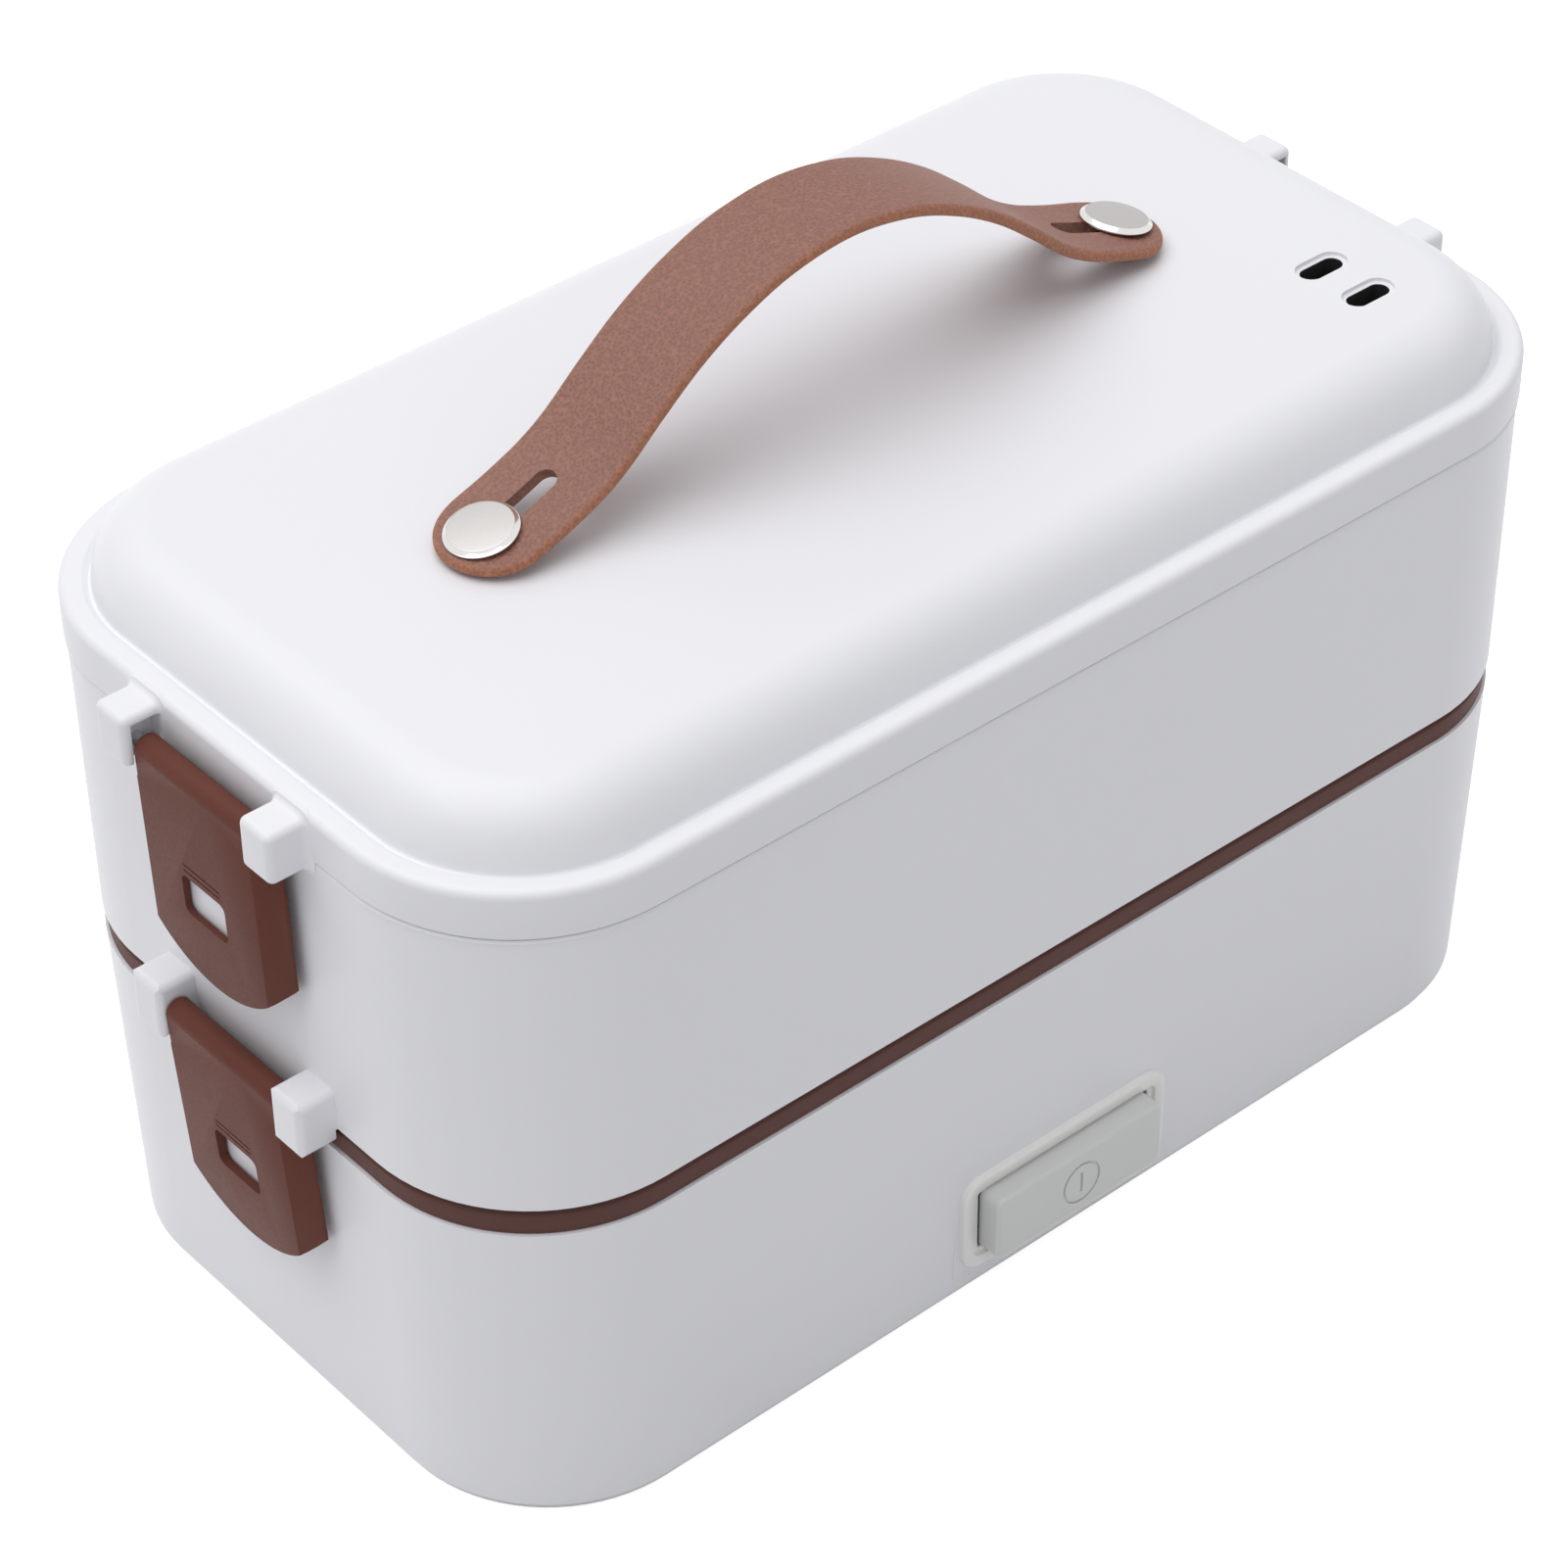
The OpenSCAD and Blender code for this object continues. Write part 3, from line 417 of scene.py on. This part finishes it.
NODE_FINISH = {
    WHITE: ["base_shell", "upper_shell"],
    COVER: ["base_cover"],
    FOOT: ["feet"],
    STEEL: [
        "base_screws", "heating_tray", "heater_clamp", "clamp_nuts", "lower_bowl", "upper_bowl",
        "steam_floor", "tier_latch_pins", "lid_latch_pins", "stud_nuts",
    ],
    HEATER: ["heater", "thermal_fuse"],
    BRASS: ["inlet_pins"],
    DARK: ["thermostat", "inlet_socket", "switch_housing", "vent_insert"],
    LEAD: ["leads"],
    INNER: ["lower_bowl_lid", "upper_bowl_lid", "lid_liner"],
    SEAL: ["tray_seal", "lower_bowl_seal", "upper_bowl_seal", "lid_seal"],
    CLEAR: ["strap_washers"],
}


def dress_nodes():
    """Gives each CAD node that stays its finish."""
    for material, names in NODE_FINISH.items():
        for name in names:
            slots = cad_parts[name].data.materials
            slots.clear()
            slots.append(material)


def dress(shape, material, body, slot, *replaced):
    """Gives a new piece its finish and body, and hides the CAD nodes that it stands for; the slot is not
    used.
    """
    shape.data.materials.clear()
    shape.data.materials.append(material)
    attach(shape, body)
    if replaced:
        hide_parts(*replaced)
    return shape


# ---------------------------------------------------------------- lid

SKIRT_LOW = SEAM_Z + 0.3
SKIRT_TOP = SKIRT_LOW + 7
SKIRT_T = 1.3
SKIRT_EDGE_R = 0.35
SKIRT_STEP_Z = SEAM_Z + 1.6
WALL_IN = 2.9
CEILING_Z = SEAM_Z + 5.2
RIM_R = 1.5
RIM_SLOPE_R = 8.0
CREST_Z = SKIRT_TOP + RIM_R
VALLEY_Z = CREST_Z - 1.1
VALLEY_IN = 4.6
VALLEY_R = 0.6
DOME_R = 10.6
DOME_IN = VALLEY_IN + VALLEY_R + DOME_R
DOME_Z = VALLEY_Z + VALLEY_R
CROWN = 0.2
TOP_Z = DOME_Z + DOME_R + CROWN
ROOF_T = 2.2
ROOF_SAG = 1.4
SIDE_STEPS, END_STEPS = 40, 16

VENT_X = 85.8
VENT_YS = (-27.7, -38.2)
VENT_LEN, VENT_WID, VENT_LIP = 8.6, 3.6, 0.8
VENT_LIP_Z = TOP_Z - 0.7
VENT_PAD_Z = TOP_Z - 5
WELL_TOP_Z = TOP_Z - 0.8
WELL_INSET = 0.03


def stadium(length, width, steps=12):
    """A slot's outline: two half circles joined by straight sides."""
    reach = (length - width) / 2
    return line_up(arc(reach, 0, width / 2, -90, 90, steps), arc(-reach, 0, width / 2, 90, 270, steps))


def lid_section():
    """Section of the lid from the skirt over the rolled rim, the valley and the dome to the middle,
    then back along the underside."""
    crown = np.linspace(0, 1, 12)[1:, None]
    over = np.hstack([
        -DOME_IN - (CORNER_R - DOME_IN) * crown,
        DOME_Z + DOME_R + CROWN * np.sin(np.pi / 2 * crown),
    ])
    return line_up(
        (-SKIRT_T, SKIRT_LOW),
        (-SKIRT_EDGE_R, SKIRT_LOW),
        arc(-SKIRT_EDGE_R, SKIRT_LOW + SKIRT_EDGE_R, SKIRT_EDGE_R, -90, 0, 4)[1:],
        arc(-RIM_R, SKIRT_TOP, RIM_R, 0, 90, 10),
        arc(-RIM_R - 0.5, CREST_Z - RIM_SLOPE_R, RIM_SLOPE_R, 90, 103, 6),
        arc(-VALLEY_IN, DOME_Z, VALLEY_R, -100, -180, 6),
        arc(-DOME_IN, DOME_Z, DOME_R, 4, 87, 28),
        over,
        (-CORNER_R, TOP_Z - ROOF_T),
        (-DOME_IN, TOP_Z - ROOF_T - ROOF_SAG),
        arc(-DOME_IN, DOME_Z, DOME_R - ROOF_T, 80, 0, 8),
        (-DOME_IN + DOME_R - ROOF_T, CEILING_Z),
        (-WALL_IN, CEILING_Z),
        (-WALL_IN, SKIRT_STEP_Z),
        (-SKIRT_T, SKIRT_STEP_Z),
    )


def lid_body():
    """The lid's shell: its section carried round the wall, closed by a flat middle above and below,
    with the two steam slots and their sunk lips cut through."""
    path = round_path(HALF_LEN, HALF_WID, CORNER_R, 28, SIDE_STEPS, END_STEPS)
    shape = joined("lid_body", [
        sweep(path, lid_section(), closed=True),
        middle(path, TOP_Z, SIDE_STEPS, END_STEPS),
        middle(path, TOP_Z - ROOF_T, SIDE_STEPS, END_STEPS),
    ], sharp=50)
    for y in VENT_YS:
        for length, width, low in (
            (VENT_LEN, VENT_WID, VENT_PAD_Z - 4),
            (VENT_LEN + 2 * VENT_LIP, VENT_WID + 2 * VENT_LIP, VENT_LIP_Z),
        ):
            slot = prism(stadium(length, width), low, TOP_Z + 3)
            carved(shape, placed(slot, "xyz", (VENT_X, y, 0)))
    return dress(shape, WHITE, "lid", "white_plastic", "lid_shell")


def vent_wells():
    """Dark wells under the steam slots: a tray-shaped cup, its section carried round each slot."""
    half_len, half_wid = VENT_LEN / 2 - WELL_INSET, VENT_WID / 2 - WELL_INSET
    path = round_path(half_len, half_wid, half_wid, 12, 4, 1)
    section = line_up((0.0, WELL_TOP_Z), (0.0, VENT_PAD_Z), (-half_wid, VENT_PAD_Z))
    parts = [placed(sweep(path, section), "xyz", (VENT_X, y, 0)) for y in VENT_YS]
    return dress(joined("vent_wells", parts), DARK, "lid", "dark_plastic", "vent_insert")


def ear_parts(face, tip, half_wid, low, high, edge=1.3, flare=1.2):
    """Two blocks that stand out from the right end wall, with round edges and a small flare at the
    wall: the section (inset, x) is carried round the block's rounded outline in the YZ plane."""
    root = face - 1
    flare_points = arc(face + flare, flare, flare, 180, 270, 6)
    section = line_up(
        (-edge, root), (flare, root),
        np.stack([flare_points[:, 1], flare_points[:, 0]], 1),
        arc(-edge, tip - edge, edge, 0, 90, 8),
        (-edge, tip),
    )
    path = round_path(half_wid, (high - low) / 2, edge, 8, 4, 4)
    block = [sweep(path, section), middle(path, root, 4, 4), middle(path, tip, 4, 4)]
    return [
        placed(part, "yzx", (0, side * EAR_Y, (low + high) / 2)) for part in block for side in (-1, 1)
    ]


def both_ends(parts):
    """The parts and their mirror images at the left end."""
    return parts + [placed(part, "xyz", scale=(-1, 1, 1)) for part in parts]


EAR_Y = 18.25
EAR_HALF = 3.75
EAR_TOP = CREST_Z - 1.1
EAR_HIGH = 9.3
EAR_SKIN = 1.5
POCKET_HALF = 17.1
POCKET_WALL_GAP = 0.3


def ears():
    """The lid's ears, which carry the upper latches, each with a pocket on its inner side that is open
    below."""
    blocks = ear_parts(HALF_LEN, EAR_TIP, EAR_HALF, EAR_TOP - EAR_HIGH, EAR_TOP)
    shape = joined("lid_ears", both_ends(blocks))
    near, far = HALF_LEN + POCKET_WALL_GAP, EAR_TIP - EAR_SKIN
    for side in (-1, 1):
        pocket = rectangle((far - near) / 2, POCKET_HALF) + (side * (near + far) / 2, 0)
        carved(shape, prism(pocket, EAR_TOP - EAR_HIGH - 1, EAR_TOP - EAR_SKIN))
    return dress(shape, WHITE, "lid", "white_plastic")


# ---------------------------------------------------------------- latches

BARREL_R = 2.3
FACE_OUT = BARREL_R
PIVOT_X = HALF_LEN + 3.3
UPPER_PIVOT = (PIVOT_X, EAR_TOP - 6.1)
LOWER_PIVOT = (PIVOT_X, TIER_Z + 8.4 - 5.2)
UPPER_NECK, LOWER_NECK = 4.6, 5.9
UPPER_LEAN, LOWER_LEAN = 1.5, 3.5
BEVEL = 3.2
LATCH_HALF = 17.5
NECK_HALF = 14.1
LATCH_DROP = 37.6
LATCH_ARC = 22.0
LATCH_PLATE = 1.7
LATCH_DEPTH = 1.5
LATCH_EDGE_R = 0.4
RIM_T = 1.6
WINDOW_WID, WINDOW_HIGH, WINDOW_TOP = 11.0, 7.6, 18.1
WINDOW_R = 1.3
LINE_HALF = (4.6, 0.16)
LINE_RISES = (1.2, 2.3)
LINE_DEPTH = 0.18
PIN_R = 1.25
GROOVE_HALF = 7.0
GROOVE_TOP = 16.4
LIP_T = 0.7


def level_section(out, half):
    """A latch cut level: flat face, two bevels and two sides, as (x, y)."""
    return np.array([
        (-LATCH_DEPTH, -half), (out - BEVEL, -half), (out, -half + BEVEL),
        (out, half - BEVEL), (out - BEVEL, half), (-LATCH_DEPTH, half),
    ])


def latch_face(neck):
    """A latch seen from its end of the box, as (y, z) with the pivot at the origin: a neck between
    the ears, shoulders, straight sides and a foot on a wide arc, all corners a little rounded."""
    corner = math.degrees(math.asin(LATCH_HALF / LATCH_ARC))
    foot = arc(0, LATCH_ARC - LATCH_DROP, LATCH_ARC, -90 - corner, -90 + corner, 24)
    return line_up(
        (NECK_HALF, 0), (-NECK_HALF, 0), (-NECK_HALF, -neck), (-LATCH_HALF, -neck),
        foot, (LATCH_HALF, -neck), (NECK_HALF, -neck),
    )


def turn_y(angle):
    """Matrix of a turn about Y: what stands out along +Z leans towards +X by the angle."""
    return np.array([
        [math.cos(angle), 0, math.sin(angle)], [0, 1, 0], [-math.sin(angle), 0, math.cos(angle)],
    ])


def barrel(radius, half):
    """A round bar along Y about the pivot."""
    return placed(prism(arc(0, 0, radius, 0, 360, 48)[:-1], -half, half), "xzy")


def latch(node, body, side, pivot, neck, lean):
    """A latch: the level section crossed with the end outline, hollowed behind, hung on a barrel, with
    an upright groove that passes the catch pads, and with its window and two fine lines above it cut
    through or into the face; its foot leans to the wall."""
    column = prism(level_section(FACE_OUT, LATCH_HALF), -40, 0)
    shape = joined(node.replace("latch_", "latch_cover_"), [column])
    outline = placed(prism(latch_face(neck), -10, 10), "yzx")
    combined(shape, joined("outline", [outline]), "INTERSECT")
    combined(shape, joined("barrel", [barrel(BARREL_R, NECK_HALF)]), "UNION")
    softened(shape, LATCH_EDGE_R)
    hollow = level_section(FACE_OUT - LATCH_PLATE, LATCH_HALF - RIM_T) - (0.01, 0)
    carved(shape, prism(hollow, -42, -neck - 2), barrel(PIN_R, NECK_HALF + 1))
    turn = math.radians(lean)
    groove_out = FACE_OUT * math.cos(turn) - LATCH_DROP * math.sin(turn) - LIP_T
    groove = np.array([
        (-10, -GROOVE_TOP), (-10, -LATCH_DROP - 3),
        (groove_out + (LATCH_DROP + 3) * math.sin(turn), -LATCH_DROP - 3),
        (groove_out + GROOVE_TOP * math.sin(turn), -GROOVE_TOP),
    ])
    carved(shape, placed(prism(groove, -GROOVE_HALF, GROOVE_HALF), "xzy"))
    path = round_path(WINDOW_WID / 2, WINDOW_HIGH / 2, WINDOW_R, 6)
    window = prism(path[0] + path[1] * path[2], -1, 6)
    carved(shape, placed(window, "yzx", (0, 0, -WINDOW_TOP - WINDOW_HIGH / 2)))
    line = prism(rectangle(*LINE_HALF), FACE_OUT - LINE_DEPTH, 6)
    carved(shape, *[placed(line, "yzx", (0, 0, rise - WINDOW_TOP)) for rise in LINE_RISES])
    co = np.empty(len(shape.data.vertices) * 3)
    shape.data.vertices.foreach_get("co", co)
    at_pivot = np.array([pivot[0], 0, pivot[1]]) * MM
    co = (co.reshape(-1, 3) @ turn_y(turn).T + at_pivot) * (side, 1, 1)
    shape.data.vertices.foreach_set("co", co.ravel())
    if side < 0:
        shape.data.flip_normals()
    smooth(shape, 30)
    return dress(shape, LATCH, body, "latch_plastic", node)


# ---------------------------------------------------------------- strap

STUD_X = 65.8
STRAP_HALF = 9.9
STRAP_T = 2.0
STRAP_EDGE_R = 0.85
STRAP_END = 72.6
SLOT_RUN, SLOT_WID = 13.4, 4.2
STRAP_FOOT = TOP_Z + 0.45
STRAP_RISE = 32.2
STRAP_ARCH = np.array([
    (0, 1), (0.18, 0.949), (0.33, 0.832), (0.46, 0.678), (0.575, 0.494), (0.68, 0.311),
    (0.76, 0.207), (0.84, 0.134), (0.92, 0.074), (1, 0.026), (1.1, 0), (1.2, -0.01),
])


def arch_line(samples=400):
    """The strap's underside from the left end to the right: a smooth curve through the arch points,
    mirrored, with its running length, so that a flat strap can be laid along it."""
    knots = STRAP_ARCH * (STUD_X, STRAP_RISE) + (0, STRAP_FOOT)
    knots = np.vstack([knots[:0:-1] * (-1, 1), knots])
    before, after = 2 * knots[0] - knots[1], 2 * knots[-1] - knots[-2]
    around = np.vstack([before, knots, after])
    u = np.linspace(0, len(knots) - 1 - 1e-9, samples)
    i = u.astype(int)
    t = (u - i)[:, None]
    a, b, c, d = around[i], around[i + 1], around[i + 2], around[i + 3]
    square, cube = 2 * a - 5 * b + 4 * c - d, 3 * b - a - 3 * c + d
    line = 0.5 * (2 * b + (c - a) * t + square * t**2 + cube * t**3)
    run = np.concatenate([[0], np.cumsum(np.linalg.norm(np.diff(line, axis=0), axis=1))])
    return line, run - run[-1] / 2


def run_at(x, line, run):
    """Running length at which the arch passes a given x."""
    return np.interp(x, line[:, 0], run)


def bent(points, line, run):
    """Lays flat points (s, y, h) along the arch: the place at running length s, plus h times the
    arch's normal there."""
    direction = np.gradient(line, run, axis=0)
    direction /= np.linalg.norm(direction, axis=1)[:, None]
    s, y, h = points.T
    x, z = np.interp(s, run, line[:, 0]), np.interp(s, run, line[:, 1])
    dx, dz = np.interp(s, run, direction[:, 0]), np.interp(s, run, direction[:, 1])
    return np.stack([x - dz * h, y, z + dx * h], 1)


def strap():
    """The strap: a flat plate with round ends and rounded edges, its two slots cut, then laid along
    the arch. Its attribute "edge" rises from 0 on the faces to 1 on the cut edges."""
    line, run = arch_line()
    end = run_at(STRAP_END, line, run)
    section = line_up(
        (-STRAP_HALF, 0), (-5, 0), (-2, 0),
        arc(-STRAP_EDGE_R, STRAP_EDGE_R, STRAP_EDGE_R, -90, 0, 6),
        arc(-STRAP_EDGE_R, STRAP_T - STRAP_EDGE_R, STRAP_EDGE_R, 0, 90, 6),
        (-2, STRAP_T), (-5, STRAP_T), (-STRAP_HALF, STRAP_T),
    )
    path = round_path(end, STRAP_HALF, STRAP_HALF, 24, 220, 1)
    shape = joined("strap_band", [sweep(path, section)])
    centre = run_at(STUD_X - SLOT_RUN / 2, line, run)
    for side in (-1, 1):
        slot = prism(stadium(SLOT_RUN + SLOT_WID, SLOT_WID, 14), -2, STRAP_T + 2)
        carved(shape, placed(slot, "xyz", (side * centre, 0, 0)))
    co = np.empty(len(shape.data.vertices) * 3)
    shape.data.vertices.foreach_get("co", co)
    flat = co.reshape(-1, 3) / MM
    rim = np.abs(flat[:, 2] - STRAP_T / 2) < STRAP_T / 2 - 0.12
    beyond = np.maximum(np.abs(flat[:, 0]) - (end - STRAP_HALF), 0)
    depth = STRAP_HALF - np.hypot(beyond, flat[:, 1])
    edge = np.clip(1.15 - depth / 0.9, 0, 1) * np.where(rim, 1.0, 0.55)
    shape.data.vertices.foreach_set("co", (bent(flat, line, run) * MM).ravel())
    shown = shape.data.attributes.new("edge", "FLOAT", "POINT").data
    shown.foreach_set("value", edge.astype(np.float32))
    smooth(shape, 50)
    return dress(shape, STRAP, "lid", "strap_leather", "strap")


CAP_R = 6.1
CAP_TILT = 13.0
CAP_T = 1.1
SHANK_R = 1.7
CAP_Z = STRAP_FOOT + 0.026 * STRAP_RISE + STRAP_T + 0.65


def caps():
    """Stud caps: a turned section, satin on top with a bright bevel, leaning outwards with the strap,
    and a straight shank through the slot."""
    tilt = math.radians(CAP_TILT)
    centre = (STUD_X, 0, CAP_Z)
    face = line_up((0, CAP_T), (CAP_R - 0.9, CAP_T), arc(CAP_R - 0.9, CAP_T - 0.2, 0.2, 90, 50, 3))
    bevel = line_up(
        face[-1], (CAP_R - 0.15, 0.5), arc(CAP_R - 0.25, 0.3, 0.25, 40, -60, 6),
        (CAP_R - 0.6, 0), (0, 0),
    )
    shank = line_up((SHANK_R, 0.1), (SHANK_R, WASHER_Z - centre[2]))
    lean = turn_y(tilt)

    def placed_cap(section, turn):
        points, faces = turned(section, 96)
        return (points @ (lean.T if turn else np.eye(3)) + centre, faces)

    top = joined("cap_faces", both_ends([placed_cap(face, True)]), sharp=60)
    rim = joined("cap_rims", both_ends([placed_cap(bevel, True), placed_cap(shank, False)]), sharp=30)
    dress(top, CAP, "lid", "cap_steel", "strap_caps")
    return dress(rim, CAP_BEVEL, "lid", "cap_steel")


# ---------------------------------------------------------------- band and switch


def band():
    """The silicone band: a closed section with a soft outer face, carried round the wall."""
    low, high = BAND_HIGH[2] - 4.8, BAND_HIGH[2]
    out_low = BAND_HIGH[0] - HALF_LEN - 0.1
    section = line_up(
        (-5.2, low - 2), (-4.1, low - 2), (-4.1, low), (out_low - 0.6, low),
        arc(out_low - 0.45, low + 0.45, 0.45, -90, 0, 4),
        arc(out_low - 0.5, high - 1.3, 0.6, 0, 55, 5),
        (out_low - 0.9, high - 0.45), (out_low - 1.3, high), (-4.6, high),
    )
    path = round_path(HALF_LEN, HALF_WID, CORNER_R, 28, SIDE_STEPS, END_STEPS)
    shape = joined("tier_band", [sweep(path, section, closed=True)])
    return dress(shape, BAND, "base", "band_silicone", "band_ring")


SWITCH_Z = 16.6
BUTTON_HALF_HIGH = 6.6
BUTTON_BACK = 61.9
BUTTON_EDGE_R = 0.9
SYMBOL_R, SYMBOL_LINE, SYMBOL_DEPTH = 4.2, 0.5, 0.3


def bezel():
    """Switch frame: a closed section (outwards, forwards) with a round outer edge and an inner step,
    carried round a rounded rectangle on the front wall."""
    half_len, half_h = (BEZEL_HIGH[0] - BEZEL_LOW[0]) / 2, (BEZEL_HIGH[2] - BEZEL_LOW[2]) / 2
    front, back = -BEZEL_LOW[1], -BEZEL_HIGH[1]
    inner = -(half_len - (BUTTON_HIGH[0] - BUTTON_LOW[0]) / 2 - 0.4)
    section = line_up(
        (0, back), (0, front - 0.6), arc(-0.6, front - 0.6, 0.6, 0, 90, 6),
        (-2.1, front), (-2.3, front - 0.15), (-2.35, front - 0.7), (inner + 0.2, front - 0.75),
        (inner, front - 0.95), (inner, back),
    )
    path = round_path(half_len, half_h, 4.0, 12, 6, 3)
    shape = joined("switch_frame", [
        placed(sweep(path, section, closed=True), "xzy", (0, 0, SWITCH_Z), (1, -1, 1))
    ])
    return dress(shape, MILKY_FRAME, "base", "switch_plastic", "switch_bezel")


def button():
    """Switch button: a block with round edges, and a ring and bar sunk into its face."""
    front, back, edge = -BUTTON_LOW[1], BUTTON_BACK, BUTTON_EDGE_R
    section = line_up((-1.8, back), (0, back), arc(-edge, front - edge, edge, 0, 90, 8), (-1.8, front))
    path = round_path((BUTTON_HIGH[0] - BUTTON_LOW[0]) / 2, BUTTON_HALF_HIGH, 1.8, 10, 8, 4)
    parts = [sweep(path, section), middle(path, front, 8, 4), middle(path, back, 8, 4)]
    shape = joined("button_block", [
        placed(part, "xzy", (0, 0, SWITCH_Z), (1, -1, 1)) for part in parts
    ])
    low, high = front - SYMBOL_DEPTH, front + 1
    ring_path = round_path(SYMBOL_R, SYMBOL_R, SYMBOL_R - 0.001, 16, 1, 1)
    ring_section = np.array([(0, low), (0, high), (-SYMBOL_LINE, high), (-SYMBOL_LINE, low)])
    ring = sweep(ring_path, ring_section, closed=True)
    bar = prism(rectangle(0.28, 2.1), low, high)
    carved(shape, *[placed(sign, "xzy", (0, 0, SWITCH_Z), (1, -1, 1)) for sign in (ring, bar)])
    smooth(shape, 38)
    return dress(shape, MILKY, "button", "switch_plastic", "switch_button")


# ---------------------------------------------------------------- light, floor and camera


def seen_directly(tree):
    """Rays that see a backdrop as itself: 1 for camera, glossy and transmission rays, else 0."""
    path = tree.nodes.new("ShaderNodeLightPath")
    first = tree.nodes.new("ShaderNodeMath")
    first.operation = "MAXIMUM"
    second = tree.nodes.new("ShaderNodeMath")
    second.operation = "MAXIMUM"
    tree.links.new(path.outputs["Is Camera Ray"], first.inputs[0])
    tree.links.new(path.outputs["Is Glossy Ray"], first.inputs[1])
    tree.links.new(first.outputs[0], second.inputs[0])
    tree.links.new(path.outputs["Is Transmission Ray"], second.inputs[1])
    return second.outputs[0]


def world_light(strength):
    """Even light from all round, which looks plain white where it is seen."""
    world = bpy.data.worlds.new("even_light")
    bpy.context.scene.world = world
    world.use_nodes = True
    tree = world.node_tree
    back = tree.nodes["Background"]
    white = tree.nodes.new("ShaderNodeBackground")
    mix = tree.nodes.new("ShaderNodeMixShader")
    back.inputs["Color"].default_value = (0.985, 0.99, 1, 1)
    back.inputs["Strength"].default_value = strength
    white.inputs["Color"].default_value = (1, 1, 1, 1)
    tree.links.new(seen_directly(tree), mix.inputs["Fac"])
    tree.links.new(back.outputs[0], mix.inputs[1])
    tree.links.new(white.outputs[0], mix.inputs[2])
    tree.links.new(mix.outputs[0], tree.nodes["World Output"].inputs["Surface"])


def floor():
    """A pale floor that keeps a faint shadow: part plain white light, part matt surface, where seen."""
    mesh = bpy.data.meshes.new("floor")
    reach = 3.0
    corners = [(-reach, -reach, 0), (reach, -reach, 0), (reach, reach, 0), (-reach, reach, 0)]
    mesh.from_pydata(corners, [], [(0, 1, 2, 3)])
    plane = bpy.data.objects.new("floor", mesh)
    bpy.context.scene.collection.objects.link(plane)
    material = bpy.data.materials.new("pale_floor")
    material.use_nodes = True
    tree = material.node_tree
    shader = tree.nodes["Principled BSDF"]
    shader.inputs["Base Color"].default_value = (0.62, 0.62, 0.63, 1)
    shader.inputs["Roughness"].default_value = 0.9
    glow = tree.nodes.new("ShaderNodeEmission")
    both = tree.nodes.new("ShaderNodeAddShader")
    mix = tree.nodes.new("ShaderNodeMixShader")
    glow.inputs["Strength"].default_value = 0.82
    tree.links.new(shader.outputs[0], both.inputs[0])
    tree.links.new(glow.outputs[0], both.inputs[1])
    tree.links.new(seen_directly(tree), mix.inputs["Fac"])
    tree.links.new(shader.outputs[0], mix.inputs[1])
    tree.links.new(both.outputs[0], mix.inputs[2])
    tree.links.new(mix.outputs[0], tree.nodes["Material Output"].inputs["Surface"])
    mesh.materials.append(material)


def area_light(name, place, aim, size, power):
    """A square soft lamp at a place, turned to an aim, both in metres."""
    lamp = bpy.data.lights.new(name, "AREA")
    lamp.size = size
    lamp.energy = power
    holder = bpy.data.objects.new(name, lamp)
    holder.location = place
    holder.rotation_euler = (Vector(aim) - Vector(place)).to_track_quat("-Z", "Y").to_euler()
    bpy.context.scene.collection.objects.link(holder)


PHOTO_SIDE = 1601
FOCAL_PX = 4846.1
AXIS_PX = (797.41, 799.82)
VIEW_YAW, VIEW_PITCH, VIEW_ROLL = -40.277, 38.694, -0.717
VIEW_AIM = (-7.196, 0.52, 64.608)
VIEW_DISTANCE = 791.51


def camera():
    """The photograph's view: the camera stands VIEW_DISTANCE from the aim, turned by yaw and pitch,
    and its own axes are turned by the roll."""
    yaw, pitch, roll = (math.radians(v) for v in (VIEW_YAW, VIEW_PITCH, VIEW_ROLL))
    back = Vector((math.sin(yaw) * math.cos(pitch), -math.cos(yaw) * math.cos(pitch), math.sin(pitch)))
    right = Vector((math.cos(yaw), math.sin(yaw), 0))
    up = back.cross(right)
    along, across = math.cos(roll), math.sin(roll)
    right, up = right * along + up * across, up * along - right * across
    lens = bpy.data.cameras.new("camera")
    lens.sensor_width = 36
    lens.lens = FOCAL_PX * lens.sensor_width / PHOTO_SIDE
    lens.shift_x = (PHOTO_SIDE / 2 - AXIS_PX[0]) / PHOTO_SIDE
    lens.shift_y = (AXIS_PX[1] - PHOTO_SIDE / 2) / PHOTO_SIDE
    lens.clip_start = 0.05
    holder = bpy.data.objects.new("camera", lens)
    axes = Matrix((right, up, back)).transposed().to_4x4()
    place = Vector(VIEW_AIM) * MM + back * VIEW_DISTANCE * MM
    holder.matrix_world = Matrix.Translation(place) @ axes
    bpy.context.scene.collection.objects.link(holder)
    bpy.context.scene.camera = holder


# ---------------------------------------------------------------- the whole object

camera()
dress_nodes()
lid_body()
vent_wells()
ears()
for side, end in ((-1, "left"), (1, "right")):
    latch("latch_upper_" + end, "upper_" + end + "_latch", side, UPPER_PIVOT, UPPER_NECK, UPPER_LEAN)
    latch("latch_lower_" + end, "lower_" + end + "_latch", side, LOWER_PIVOT, LOWER_NECK, LOWER_LEAN)
strap()
caps()
band()
bezel()
button()
floor()
world_light(0.5)
area_light("key", (-0.7, 0.5, 3.2), (0, 0, 0.1), 3.6, 70)
bpy.context.scene.view_settings.view_transform = "Standard"
